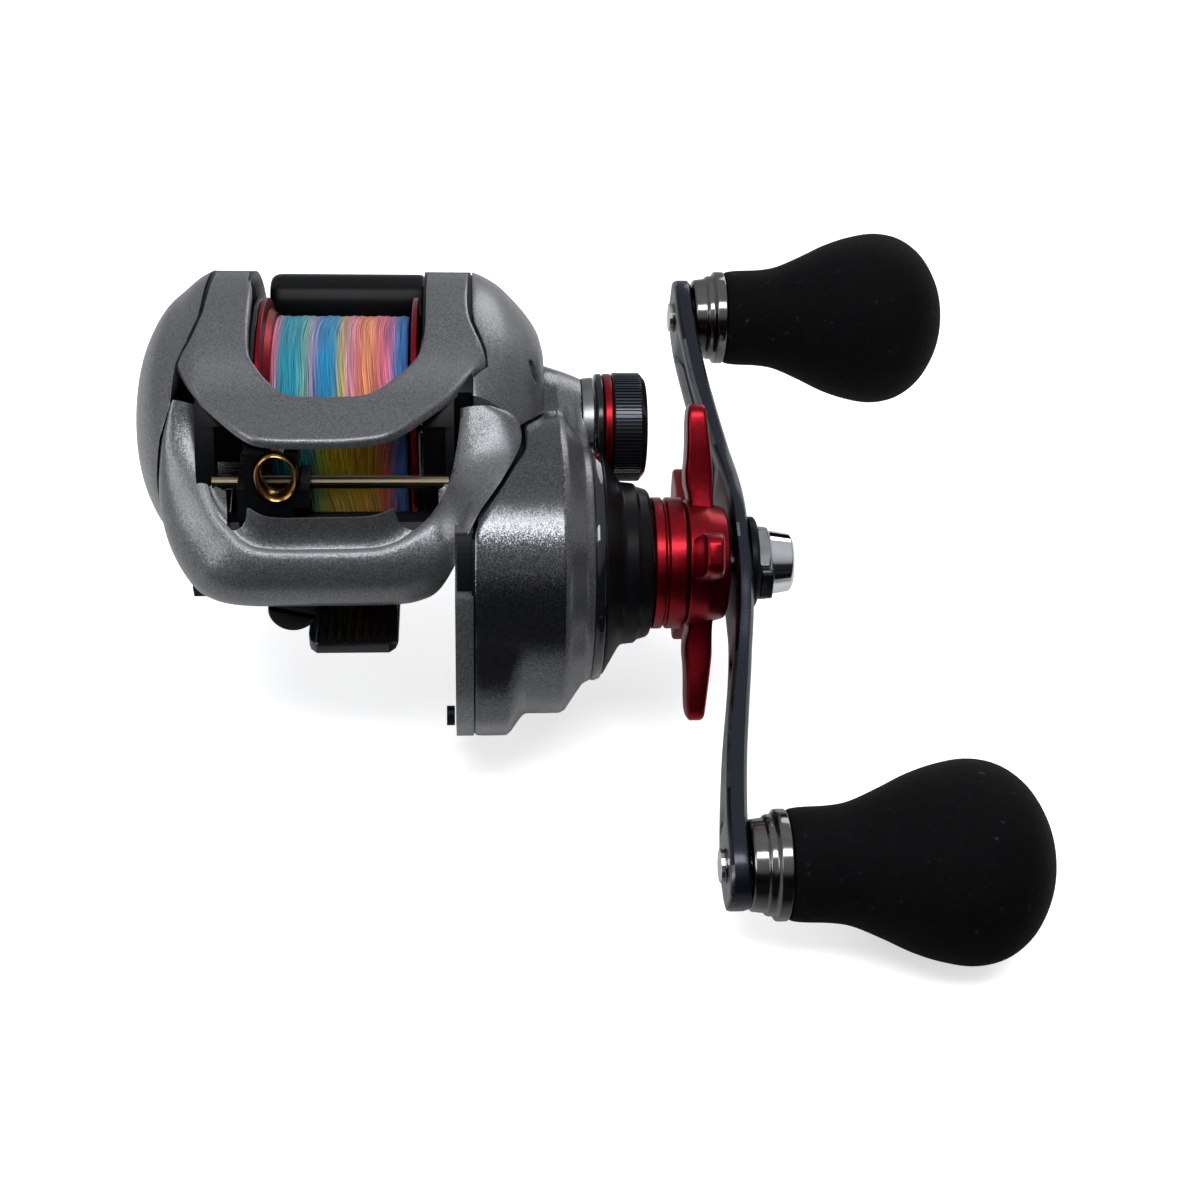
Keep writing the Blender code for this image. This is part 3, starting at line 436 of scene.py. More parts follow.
PAINT = paint("gunmetal_gloss", (0.035, 0.037, 0.041), (0.145, 0.152, 0.163), 0.2, 7500, 0.93, 0.11)
PAINT_SHELL = paint("gunmetal_satin", (0.075, 0.079, 0.085), (0.2, 0.207, 0.218), 0.38, 7500, 0.7, 0.14)
BLACK = metal("satin_black", (0.0035, 0.0038, 0.0046), 0.36, 0.06, 1400, 0.0, 0.25, 0.0, shine=0.1)
PIANO = metal("polished_black", (0.012, 0.013, 0.016), 0.06, 0.02, 900, 0.5, 0.1, 0.6, shine=0.6)
SLATE = metal("ridge_edges", (0.055, 0.064, 0.08), 0.3, 0.04, 1800, 0.9, 0.1)
GLOSS = metal("gloss_black", (0.005, 0.0055, 0.007), 0.16, 0.04, 900, 0.0, 0.2, 0.0, shine=0.4)
NAVY = metal("navy_anodised", (0.01, 0.0135, 0.022), 0.26, 0.04, 1800, 0.6, 0.15, 0.1)
STONE = metal("dark_anodised_face", (0.016, 0.0185, 0.025), 0.32, 0.04, 1800, 0.9, 0.12)
RED = metal("red_anodised", (0.22, 0.0045, 0.0105), 0.33, 0.05, 1600, 0.95, 0.12, 0.05)
SATIN = metal("satin_nickel", (0.2, 0.205, 0.215), 0.32, 0.06, 900, 1.0, 0.15, 0.0, (0.2, 1, 1))
STEEL = metal("ground_steel", (0.5, 0.5, 0.5), 0.26, 0.07, 1200, 1.0, 0.12, 0.0, (0.05, 1, 1))
WORN = metal("worn_nickel", (0.2, 0.165, 0.115), 0.3, 0.06, 1200, 1.0, 0.2, 0.0, (0.05, 1, 1))
CHROME = metal("polished_chrome", (0.72, 0.73, 0.75), 0.07, 0.02, 500, 1.0, 0.04)
NICKEL = metal("dark_nickel", (0.16, 0.155, 0.15), 0.13, 0.03, 700, 1.0, 0.08)
BRASS = metal("brass", (0.62, 0.42, 0.16), 0.24, 0.06, 1500, 1.0, 0.15)
GOLD = metal("titanium_gold", (0.3, 0.17, 0.06), 0.22, 0.04, 900, 1.0, 0.3)
CARBON = metal("carbon", (0.03, 0.03, 0.032), 0.5, 0.1, 4000, 0.0, 0.5)
FOAM = foam_material("eva_foam")
BRAID = braid_material("braid")


def piece(obj, material, body, replaces=()):
    if material and obj.type == "MESH":
        obj.data.materials.clear()
        obj.data.materials.append(material)
    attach(obj, body)
    if replaces:
        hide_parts(*replaces)
    return obj


# ---------------------------------------------------------------- the case skin
LEFT_DOME = [(-29.92, 0.02), (-29.8, 0.12), (-29.5, 0.26), (-28.6, 0.456), (-27.0, 0.635), (-25.1, 0.77),
    (-22.6, 0.875), (-20.5, 0.957), (-18.8, 1.0)]
RIGHT_DOME = [(19.8, 1.0), (21.2, 0.975), (23.6, 0.91), (25.7, 0.82), (28.0, 0.7), (29.6, 0.58), (30.3, 0.47)]


def dome_scale(x):
    return soft(LEFT_DOME, x) if x < 0 else soft(RIGHT_DOME, x)


def case_outline(scale=1.0, inset=0.0, count=144):
    turn = [2 * pi * (i + 0.5) / count for i in range(count)]
    return [(CASE[0] + (CASE_A * scale - inset) * cos(a), CASE[1] + (CASE_B * scale - inset) * sin(a))
        for a in turn]


def top_height(x, y):
    s = dome_scale(x)
    y0 = CASE[0] + (y - CASE[0]) / s
    t = min(1.0, ((y0 - CASE[0]) / CASE_A) ** 2)
    oval = CASE[1] + CASE_B * math.sqrt(1 - t)
    hood = 14.8 + 0.145 * (y0 + 16)
    blend = max(0.0, 1.8 - abs(oval - hood)) ** 2 / 7.2
    return CASE[1] + s * (max(oval, hood) + blend - CASE[1])


def flange_outline(extra=0.0, count=160):
    points = []
    for i in range(count):
        a = 2 * pi * i / count
        r = flange_radius(a) + extra
        points.append((DRIVE[0] + r * cos(a), DRIVE[1] + r * sin(a)))
    return points


def flange_radius(a):
    down = math.degrees(math.acos(max(-1, min(1, cos(a + pi / 2)))))
    grow = max(0.0, min(1.0, (95 - down) / 35))
    return BARREL_R + 3.2 * grow * grow * (3 - 2 * grow)


def yoke_room():
    """Space the clutch yoke sweeps as it slides towards the gear case."""
    c, s = cos(radians(120)), sin(radians(120))
    outline = [(u * c - v * s, u * s + v * c) for u, v in ((-14.3, -4.4), (14.3, -4.4), (14.3, 4.4),
        (-14.3, 4.4))]
    return prism("yoke_room", outline, 17.7, 21.2, 0)


# ---------------------------------------------------------------- hood with its two horns, as one swept sheet
HOOD = [
    ((-12.9, 11.0), (-18.3, 11.0)), ((-12.6, 7.0), (-18.35, 5.0)), ((-12.0, 3.0), (-18.45, 0.0)),
    ((-11.8, -2.0), (-18.75, -4.2)), ((-11.7, -7.0), (-19.9, -8.0)), ((-11.3, -10.8), (-21.3, -10.3)),
    ((-10.3, -12.6), (-21.2, -11.3)), ((-8.6, -14.6), (-19.0, -15.6)), ((-6.6, -16.3), (-15.6, -20.2)),
    ((-4.5, -16.9), (-11.2, -25.2)), ((-2.5, -17.0), (-7.9, -26.8)), ((-0.5, -17.0), (-2.0, -27.0)),
    ((1.7, -16.9), (3.0, -26.8)), ((4.0, -16.8), (7.4, -25.9)), ((6.3, -15.9), (10.4, -23.9)),
    ((8.6, -14.2), (14.2, -19.7)), ((11.0, -12.2), (19.3, -14.1)), ((12.2, -10.4), (21.6, -11.6)),
    ((12.6, -8.0), (21.4, -9.4)), ((12.8, -5.0), (19.8, -5.2)), ((12.8, -1.0), (19.3, -1.0)),
    ((12.8, 5.0), (19.38, 5.0)), ((12.9, 11.0), (19.42, 11.0)),
]


def hood_skin(name, count=190, across=16, thick=1.3, lift=0.12):
    inner = spline([a for a, b in HOOD], count)
    outer = spline([b for a, b in HOOD], count)
    rings = []
    for a, b in zip(inner, outer):
        span = dist(a, b)
        edge = min(0.3, 0.7 / max(span, 0.5))
        rows = [0.0, edge * 0.25, edge * 0.6, edge] + [edge + (1 - 2 * edge) * i / across
            for i in range(1, across)]
        rows += [1 - edge, 1 - edge * 0.6, 1 - edge * 0.25, 1.0]
        drop = [0.6, 0.28, 0.07, 0.0] + [0.0] * (across - 1) + [0.0, 0.07, 0.28, 0.6]
        top, under = [], []
        for t, d in zip(rows, drop):
            x, y = a[0] + (b[0] - a[0]) * t, a[1] + (b[1] - a[1]) * t
            top.append((x, y, top_height(x, y) + lift - d))
        for t in (1.0, 0.7, 0.4, 0.0):
            x, y = a[0] + (b[0] - a[0]) * t, a[1] + (b[1] - a[1]) * t
            under.append((x, y, top_height(x, y) + lift - thick))
        rings.append(top + under)
    return loft(name, rings, sharp=50)


hood = piece(hood_skin("hood_shell"), PAINT_SHELL, "reel_body")

body = prism("case_frame", case_outline(1.0, 0.05), -18.5, -12.7, 0)
parts = [
    prism("a", [(-17, -10), (-24.6, -7.5), (-24.6, -1.6), (-20.6, 2.0), (-20.6, 7.0), (-17, 10)],
          -18.5, -15.9, 0),
    prism("b", case_outline(1.0, 0.05), 12.7, 19.6, 0),
    prism("c", flange_outline(), 17.1, 19.6, 0),
    boxy("d", -14, 14, -11, 15, -20.7, -19.2),
    disc("e", -14, 14, 1.7, (22.6, -7.5), 24),
    disc("f", -14, 14, 1.4, (-18.2, -11.3), 24),
]
boolean(body, parts, "UNION")
cuts = [
    disc("g", -18.7, 12.7, 19.6, (0, 0), 120),
    boxy("h", -15.85, 15.9, -30, -18.9, -10.2, 11.0),
    disc("i", 15.2, 20, 17.2, (0, 0), 90),
    disc("j", 12, 18, 3.9),
    boxy("k", 12, 20.5, 19.2, 23.9, -6.0, 7.5),
    boxy("l", 15.2, 20.5, 14.0, 20.0, -6.0, 7.5),
    boxy("m", 12.0, 17.1, -30, -12.5, -22, -12.6),
    boxy("n", 17.1, 20.5, -40, -15.9, 1.2, 30),
    boxy("under_bumper", 17.0, 20.5, -45, -31.0, -5.4, 2.0),
]
boolean(body, cuts)
# The frame itself is grey paint. Satin black on every frame face except the outer gear plate is painted shade
# inside the reel.
piece(bevel(body, 0.15), BLACK, "reel_body", ["frame"])
# Black plug sunk 1.2 mm into the gear plate under the bumper: painted shadow on the plate there.
recess = prism("plate_shadow_plug", flange_outline(-1.2), 17.4, 19.5, 0)
boolean(recess, [boxy("recess_box", 17, 20, -45, -31.2, -5.3, 1.0)], "INTERSECT")
piece(recess, BLACK, "reel_body")
body.data.materials.append(PAINT_SHELL)
# Outer gear plate faces get the grey paint; all other frame faces keep the painted-shade black.
for poly in body.data.polygons:
    middle = poly.center * 1000 - Vector(SPOOL_AXIS)
    plate = middle.x > 16.9 and hypot(middle.y, middle.z) > 20.3 and middle.z < 2.0
    poly.material_index = 1 if plate else 0
# Black ring in the seam between the frame flange and the gear case: painted shade that keeps the gap dark.
flange_seam_shade = [[(x, y, z) for y, z in flange_outline(e)] for x, e in ((19.4, -2.4), (19.4, -0.35), (20.2, -0.35),
    (20.2, -2.4))]
flange_seam_shade = boolean(loft("flange_seam_shade_ring", flange_seam_shade, True, 0), [boxy("arm_space", 19, 21, -45, -15.9, 1.0, 30),
    yoke_room()])
piece(flange_seam_shade, BLACK, "reel_body")
# Black ring in the seam between the frame and the right shell: painted shade that keeps the gap dark.
shell_seam_shade = [[(x, y, z) for y, z in case_outline(1.0, e)] for x, e in ((19.3, 1.7), (19.3, 0.45), (20.2, 0.45),
    (20.2, 1.7))]
shell_seam_shade = boolean(loft("shell_seam_shade_ring", shell_seam_shade, True, 0), [boxy("arm_space", 19, 21, -45, -15.9, 1.0, 30)])
piece(shell_seam_shade, BLACK, "reel_body")

# ---------------------------------------------------------------- front bumper
BUMPER = [
    ((-19.9, -14.9, 12.4), (-21.9, -14.7, 12.7)),
    ((-19.4, -16.4, 9.6), (-22.6, -15.5, 10.8)),
    ((-18.9, -18.6, 7.3), (-23.8, -16.9, 6.5)),
    ((-18.2, -21.4, 5.0), (-24.5, -17.6, 0.5)),
    ((-17.5, -23.9, 3.1), (-24.2, -18.2, -4.0)),
    ((-16.2, -26.6, 1.0), (-22.9, -20.2, -8.2)),
    ((-14.3, -28.5, -0.4), (-20.6, -23.6, -11.2)),
    ((-12.4, -30.0, -1.5), (-17.8, -26.8, -12.2)),
    ((-9.2, -31.0, -2.2), (-12.6, -28.8, -12.4)),
    ((-2.0, -31.2, -2.3), (-2.0, -29.0, -12.4)),
    ((5.9, -31.0, -2.2), (8.4, -28.8, -12.4)),
    ((9.2, -30.3, -1.7), (12.4, -28.4, -11.9)),
    ((11.1, -29.4, -1.0), (14.8, -28.8, -10.0)),
    ((13.5, -27.7, 0.2), (16.9, -30.0, -5.5)),
    ((15.2, -26.3, 1.8), (18.3, -31.4, -0.8)),
    ((16.6, -24.9, 3.8), (20.4, -30.2, 3.7)),
    ((17.6, -23.1, 6.2), (23.7, -26.0, 6.6)),
    ((18.2, -21.4, 8.4), (26.3, -20.4, 8.6)),
    ((18.6, -19.8, 10.5), (26.4, -17.3, 10.1)),
    ((18.8, -18.4, 12.1), (25.0, -16.4, 11.7)),
    ((18.95, -17.4, 13.2), (22.7, -16.6, 12.7)),
]


def bumper_section(lip, low):
    middle = [(a + b) / 2 for a, b in zip(lip, low)]
    out = Vector((middle[0], middle[1] + 8.0, middle[2] - 2.0)).normalized()
    depth = dist(lip, low)
    section = []
    rows = [(0.0, -1.0), (0.0, -0.5), (0.012, -0.15), (0.04, 0.0)] + [(0.04 + 0.92 * i / 14, 0.0)
        for i in range(1, 14)]
    rows += [(0.96, 0.0), (0.99, -0.12), (1.0, -0.4), (1.0, -1.1), (0.97, -1.5)]
    rows += [(0.75, -1.5), (0.5, -1.5), (0.25, -1.5), (0.03, -1.45)]
    for t, shift in rows:
        bulge = 0.24 * depth * 4 * t * (1 - t) * (1.15 - 0.3 * t) + shift
        section.append(tuple(a + (b - a) * t + o * bulge for a, b, o in zip(lip, low, out)))
    return section


stations = spline([lip + low for lip, low in BUMPER], 170)
bumper = loft("bumper_shell", [bumper_section(s[:3], s[3:]) for s in stations], sharp=50)
piece(bumper, PAINT_SHELL, "reel_body", ["front_bumper"])

# Scoop: the dished wall inside the lip that the line passes over. It is tallest in the middle.
SCOOP = ((0.1, -0.05), (0.5, -0.4), (1.1, -0.55), (1.8, -0.2), (2.4, 0.7), (2.8, 1.9), (3.0, 3.1), (3.1, 4.0),
    (3.35, 4.05), (3.4, 3.0), (3.25, 1.6), (2.8, 0.2), (1.9, -0.8), (1.1, -1.1), (0.5, -1.0), (0.0, -0.6))
scoop_rings = []
for s in stations:
    if s[2] < 4.6:
        lip = Vector(s[:3])
        inward = Vector((-lip.x * 0.06, 1.0, 0)).normalized()
        tall = max(0.0, min(1.0, (4.6 - lip.z) / 5.5))
        tall = tall * tall * (3 - 2 * tall)
        ring = []
        for u, h in SCOOP:
            p = lip + inward * u * (0.45 + 0.55 * tall)
            ring.append((p.x, p.y, lip.z + h * (tall if h > 0 else 1.0)))
        scoop_rings.append(ring)
GUIDE_PATH = [(-20.0, -7.3), (-27.1, -7.3), (-27.5, -4.0), (-27.1, 3.0), (-27.1, 11.5), (-23.8, 11.5),
    (-20.1, 6.2)]
scoop = boolean(loft("bumper_scoop", scoop_rings, sharp=0), [prism("guide_path", GUIDE_PATH, -14.2, 14.9, 0)])
piece(smooth(scoop, 60), PAINT_SHELL, "reel_body")

# ---------------------------------------------------------------- palm side plate and right shell
xs = [-18.8 - 11.1 * sin(pi / 2 * i / 40) for i in range(41)]
outer = [[(x, y, z) for y, z in case_outline(dome_scale(x))] for x in xs]
inner = [[(x + 1.3, y, z) for y, z in case_outline(max(0.06, dome_scale(x)), 1.3 if dome_scale(x) > 0.1
    else 0.0)] for x in xs[5::4] if dome_scale(x) > 0.2][::-1]
rim = [[(-18.8, y, z) for y, z in case_outline(1.0, 1.4)]]
palm = loft("palm_cover", inner + rim + outer, sharp=0)
SEAM_LEFT = [(-18.6, 11.0), (-18.6, 4.8), (-18.75, -1.0), (-19.0, -4.4), (-20.3, -8.2), (-21.65, -10.4),
    (-21.9, -12.0), (-22.2, -14.6), (-22.2, -40), (-5, -40), (-5, 11.0)]
SIDE_SEAM = spline([(12.4, -22.1), (9.0, -23.4), (6.5, -24.1), (0.5, -24.8), (-4.0, -24.5), (-8.2, -23.2),
    (-11.2, -20.9), (-13.0, -18.0)], 40) + [(-13.0, -5.0), (12.4, -5.0)]
boolean(palm, [plan_prism("o", SEAM_LEFT, 12.0, 30), loft("p",
    [[(x, y, z) for z, x in SIDE_SEAM] for y in (-40, -8)], sharp=0),
    prism("lever_slot", [(-18.4, -14.8), (-21.4, -13.9), (-17.9, -9.0), (-14.8, -11.6)], -20.9, -18.6, 0)])
piece(bevel(palm, 0.15, 40), PAINT_SHELL, "palm_plate", ["palm_side_plate"])
stem = prism("lever_stem", [(-18.6, -14.3), (-20.8, -13.6), (-17.6, -9.6), (-15.3, -11.8)], -20.6, -19.1, 0)
piece(bevel(stem, 0.2), BLACK, "release_lever")

xr = [19.8 + 10.5 * sin(pi / 2 * i / 30) for i in range(31)]
dome = [[(x, y, z) for y, z in case_outline(dome_scale(x))] for x in xr]
dome_in = [[(x - 1.3, y, z) for y, z in case_outline(dome_scale(x), 1.3)] for x in xr[6::4]][::-1]
dome_rim = [[(19.85, y, z) for y, z in case_outline(1.0, 1.4)]]
shell = loft("side_shell", dome_in + dome_rim + dome, sharp=0)
boolean(shell, [
    disc("q", 18, 40, BARREL_R + 0.3, DRIVE, 120), disc("r", 18, 40, 9.9, (0, 0), 90),
    prism("s", flange_outline(0.35), 19, 28, 0),
    plan_prism("arm_room", [(18, -16.6), (22.2, -15.9), (24.6, -15.6), (26.6, -15.6), (27.4, -16.4),
                            (27.4, -40), (18, -40)], 3.0, 30),
    plan_prism("t", [(19.0, 11.3), (19.6, 11.3), (19.5, -1.0), (20.1, -5.2), (21.7, -9.4), (21.9, -11.8),
                     (19.6, -14.4), (18.0, -16)], 3.0, 30),
])
HOOK = Vector((28.5, -5.3, 12.3))
HOOK_OUT = Vector((0.72, -0.3, 0.62)).normalized()
HOOK_SIDE = HOOK_OUT.cross(Vector((0, 0.5, 0.86))).normalized()
HOOK_DOWN = HOOK_OUT.cross(HOOK_SIDE)


def hook_oval(name, depth0, depth1, wide, tall):
    rings = []
    for depth in (depth0, depth1):
        ring = []
        for i in range(40):
            t = 2 * pi * i / 40
            p = HOOK + HOOK_OUT * depth + HOOK_SIDE * wide * cos(t) + HOOK_DOWN * tall * sin(t)
            ring.append(tuple(p))
        rings.append(ring)
    return loft(name, rings, sharp=0)


boolean(shell, [hook_oval("hook_room", -1.0, 3.0, 0.95, 1.8)])
piece(bevel(shell, 0.15, 40), PAINT_SHELL, "reel_body", ["gear_side_shell"])
# Black floor in the hook recess: painted shade in the pocket.
piece(hook_oval("hook_recess_shade_floor", -1.5, -0.7, 1.1, 1.95), BLACK, "reel_body")
piece(bevel(hook_oval("recess_pin", -0.8, -0.1, 0.35, 0.9), 0.15), GLOSS, "reel_body")

# ---------------------------------------------------------------- gear case: barrel and lobe as one skin
BARREL = [(19.9, 22.2), (32.2, 22.2), (33.0, 21.7), (34.4, 19.6), (35.6, 17.9), (36.6, 17.4)]
LOBE = [(19.9, 9.7), (27.0, 9.6), (30.5, 9.2), (33.0, 8.4), (34.4, 7.9), (35.6, 7.4), (36.6, 7.0)]
S_ANGLE = math.atan2(13.8, 16.5)
S_DIST = hypot(16.5, 13.8)


def case_radius(x, a):
    base = lerp(BARREL, x)
    if x < 27.4:
        flange = flange_radius(a) - BARREL_R
        fade = 1.0 if x < 24.1 else max(0.0, (27.4 - x) / 3.3)
        base += flange * fade * fade * (3 - 2 * fade)
    lobe = lerp(LOBE, x)
    d = a - S_ANGLE
    d = math.atan2(sin(d), cos(d))
    edge = math.asin(lobe / S_DIST)
    if abs(d) < edge:
        bump_r = S_DIST * cos(d) + math.sqrt(max(0, lobe ** 2 - (S_DIST * sin(d)) ** 2))
    else:
        bump_r = S_DIST * cos(edge) - (abs(d) - edge) * 26
    k = 2.2
    h = max(0.0, k - abs(base - bump_r)) / k
    return max(base, bump_r) + h * h * k * 0.25


LEFT_EDGE = [(40, 19.9), (56, 24.0), (64, 26.0), (83, 26.8), (99, 26.8), (107, 25.4), (117, 23.5),
    (129, 20.8), (137, 19.9), (400, 19.9)]


def case_left(a):
    return soft(LEFT_EDGE, math.degrees(a) % 360)


case_rings = []
angles = [2 * pi * i / 220 for i in range(220)]
steps = [0, 0.02, 0.06] + [0.06 + 0.94 * i / 44 for i in range(1, 45)]
for t in [1.0, 0.5, 0.02, 0.0]:
    ring = []
    for a in angles:
        x = case_left(a) + (34.9 - case_left(a)) * t
        r = min(case_radius(x, a) - 1.3, 21.0 if t else 30)
        ring.append((x, DRIVE[0] + r * cos(a), DRIVE[1] + r * sin(a)))
    case_rings.append(ring)
for t in steps:
    ring = []
    for a in angles:
        x = case_left(a) + (36.6 - case_left(a)) * t
        r = case_radius(x, a) - (0.25 if t == 0 else 0.05 if t == 0.02 else 0)
        ring.append((x, DRIVE[0] + r * cos(a), DRIVE[1] + r * sin(a)))
    case_rings.append(ring)
case_rings.append([(36.9, DRIVE[0] + (case_radius(36.6, a) - 0.5) * cos(a),
    DRIVE[1] + (case_radius(36.6, a) - 0.5) * sin(a)) for a in angles])
gear_case = loft("gear_case", case_rings, sharp=0)
boolean(gear_case, [disc("u", 34.6, 42, 7.3, (0, 0), 80), disc("pinion_room", 18, 31.3, 8.3, (0, 0), 80),
    disc("pinion_tip", 31, 33.6, 4.3, (0, 0), 80), disc("journal_room", 33.3, 35.6, 2.5, (0, 0), 60),
    yoke_room()])
piece(smooth(gear_case, 50), PAINT, "reel_body", ["gear_cover"])
gear_case.data.materials.append(PAINT_SHELL)
for poly in gear_case.data.polygons:
    if poly.center.x * 1000 - SPOOL_AXIS[0] > 32.25:
        poly.material_index = 1


# Black sheet just inside the gear case's inner wall: painted shade inside the case, seen through its
# openings.
case_shade_lining = []
for x, inset in [(20.3 + i * 0.9, 1.4) for i in range(10)] + [(28.4 - i * 0.9, 1.8) for i in range(10)]:
    case_shade_lining.append([(x, DRIVE[0] + (case_radius(x, a) - inset) * cos(a),
        DRIVE[1] + (case_radius(x, a) - inset) * sin(a)) for a in angles])
case_shade_lining = loft("case_shade_lining_skin", case_shade_lining, True, 0)
boolean(case_shade_lining, [disc("pinion_room", 18, 31.3, 8.9, (0, 0), 80), yoke_room()])
piece(case_shade_lining, BLACK, "reel_body")


def notch(obj, r=8.6, x0=36.0, x1=42.5):
    return boolean(obj, [disc("v", x0, x1, r, (0, 0), 90)])


ring = lathe("gear_case_ring", [(36.7, 12.0), (36.7, 17.3), (37.2, 17.45), (38.2, 17.1), (38.2, 12.0)], DRIVE,
    140)
piece(smooth(notch(ring), 40), PIANO, "reel_body")
dome = lathe("clutch_dome", [(38.25, 9.9), (38.25, 16.6), (38.6, 16.5), (40.9, 12.6), (41.4, 12.1),
    (43.3, 11.9), (43.6, 11.6), (43.8, 11.4), (45.2, 11.0), (45.6, 10.5), (45.6, 8.8), (38.3, 8.8)], DRIVE,
    140, 0.3)
piece(smooth(notch(dome, 8.7), 40), BLACK, "reel_body", ["clutch_housing"])

# ---------------------------------------------------------------- cast control
seat = lathe("cast_seat", [(34.7, 3.6), (34.7, 6.9), (35.5, 7.0), (35.6, 6.8), (35.9, 6.8), (36.0, 7.3),
    (37.7, 7.5), (37.9, 5.0), (35.2, 4.2), (35.2, 3.6)], (0, 0), 96, 0.12)
piece(seat, SATIN, "reel_body", ["cast_control_seat"])
collar = lathe("cast_collar", [(38.0, 5.2), (38.0, 7.8), (38.3, 8.05), (39.0, 8.05), (39.15, 7.8),
    (39.15, 6.2), (44.2, 6.2), (44.2, 5.2)], (0, 0), 96, 0.15)
piece(collar, GLOSS, "reel_body")
red = lathe("cast_ring", [(39.3, 6.5), (39.3, 7.9), (39.45, 8.05), (40.35, 8.05), (40.5, 7.9), (40.5, 6.5)],
    (0, 0), 96)
piece(red, RED, "cast_control", ["cast_control_ring"])


def serration(x, r, a):
    if r > 7.9 and 40.8 < x < 44.8:
        return r - 0.24 * (1 if (a * 92 / (2 * pi)) % 1 < 0.42 else 0)
    return r


cap = lathe("cast_cap", [(40.6, 6.6), (40.6, 7.9), (40.75, 8.15), (40.9, 8.2), (41.7, 8.2), (42.7, 8.2),
    (43.8, 8.2), (44.7, 8.2), (44.85, 8.1), (45.6, 7.2), (45.7, 6.8), (45.7, 0), (44.5, 0), (44.5, 6.6)],
    (0, 0), 552, 0.12, serration, 30)
piece(cap, GLOSS, "cast_control", ["cast_control_cap"])
cap.data.materials.append(SLATE)
for poly in cap.data.polygons:
    middle = poly.center * 1000 - Vector(SPOOL_AXIS)
    if 40.9 < middle.x < 44.7 and hypot(middle.y, middle.z) > 8.15:
        poly.material_index = 1

# ---------------------------------------------------------------- star drag and click rings
CLICK = [(45.9, 4.7), (45.9, 9.5), (46.1, 9.8), (47.4, 9.8), (47.6, 9.5), (47.65, 9.3), (47.9, 9.3),
    (47.95, 9.5), (48.15, 9.8), (50.4, 9.8), (50.6, 9.6), (50.6, 4.7)]
piece(lathe("click_rings", CLICK, DRIVE, 128, 0.12), RED, "crank", ["drag_click_ring"])
hub = lathe("star_wheel", [(50.9, 4.6), (50.9, 9.1), (51.2, 9.4), (54.0, 9.2), (55.4, 8.7), (56.8, 8.3),
    (57.0, 8.0), (57.0, 4.6)], DRIVE, 96, 0.3)
STAR = [(7.0, 51.7, 3.6, 3.6), (9.5, 51.5, 3.6, 3.2), (11.5, 51.0, 4.1, 3.0), (13.5, 50.9, 4.2, 3.0),
    (15.5, 51.1, 3.8, 3.1), (18.0, 51.2, 3.4, 3.2), (20.5, 51.2, 3.1, 3.1), (22.3, 51.3, 2.8, 2.8),
    (23.2, 51.5, 2.4, 2.2), (23.6, 51.8, 1.7, 1.4)]
blades = []
for degrees in (60, 0, -60, -120, 143):
    a = radians(degrees)
    rings = []
    for r, x, w, half in spline(STAR, 30):
        ring = []
        for j in range(20):
            t = 2 * pi * (j + 0.5) / 20
            c, s = cos(t), sin(t)
            c = math.copysign(abs(c) ** 0.3, c)
            s = math.copysign(abs(s) ** 0.3, s)
            dx = x + w / 2 + w / 2 * c
            side = half * s
            ring.append((dx, DRIVE[0] + r * cos(a) - side * sin(a), DRIVE[1] + r * sin(a) + side * cos(a)))
        rings.append(ring)
    blades.append(loft("blade", rings, sharp=0))
boolean(hub, blades, "UNION")
piece(smooth(hub, 40), RED, "star", ["star_drag"])

# ---------------------------------------------------------------- handle
SWEEP = [(-55.75, 53.1, 1.2), (-55.3, 52.9, 3.0), (-54.0, 52.9, 4.5), (-52.0, 52.9, 5.5), (-49, 52.9, 5.8),
    (-43, 53.2, 5.3), (-32, 54.4, 4.5), (-20, 56.3, 5.0), (-12, 57.3, 6.6), (-6, 57.6, 8.0), (0, 57.6, 8.4),
    (6, 57.6, 8.0), (12, 57.3, 6.6), (20, 56.3, 5.0), (32, 54.4, 4.5), (43, 53.2, 5.3), (49, 52.9, 5.8),
    (52.0, 52.9, 5.5), (54.0, 52.9, 4.5), (55.3, 52.9, 3.0), (55.75, 53.1, 1.2)]
rings = []
for r, x, half in spline(SWEEP, 150):
    pocket = max(0.0, min(1.0, (abs(r) - 15) / 4)) * max(0.0, min(1.0, (44 - abs(r)) / 3))
    thick = 2.9 - 0.35 * max(0.0, min(1.0, (30 - abs(r)) / 12))
    ring = []
    for dx, side in ((0.9 * pocket, -0.42), (0.85 * pocket, -0.46), (0, -0.52), (0, -0.78), (0.12, -0.9),
            (0.5, -0.985), (0.9, -1), (thick - 1, -1), (thick - 0.6, -0.985), (thick - 0.15, -0.84),
            (thick, -0.74), (thick, 0.74), (thick - 0.15, 0.84), (thick - 0.6, 0.985), (thick - 1, 1),
            (0.9, 1), (0.5, 0.985), (0.12, 0.9), (0, 0.78), (0, 0.52), (0.85 * pocket, 0.46),
            (0.9 * pocket, 0.42)):
        ring.append((x + dx, DRIVE[0] + r * ALONG[0] - side * half * ALONG[1],
            DRIVE[1] + r * ALONG[1] + side * half * ALONG[0]))
    rings.append(ring)
arm = loft("handle_bar", rings, sharp=32)
piece(arm, NAVY, "crank", ["handle_arm"])
arm.data.materials.append(STONE)
arm.data.materials.append(SATIN)
for poly in arm.data.polygons:
    if poly.normal.x < -0.75:
        poly.material_index = 1
    elif -0.75 <= poly.normal.x < -0.3:
        poly.material_index = 2
washer = lathe("hub_washer", [(60.3, 2.9), (60.3, 6.9), (61.3, 6.9), (61.6, 6.5), (61.6, 2.9)], DRIVE, 96)
piece(washer, BLACK, "crank", ["handle_hub_washer"])


def hexagon(x, r, a):
    if r < 3.0 or x > 63.4:
        return r
    b = (a + pi / 6) % (pi / 3) - pi / 6
    return min(r, 5.25 / cos(b)) if r > 4.6 else r


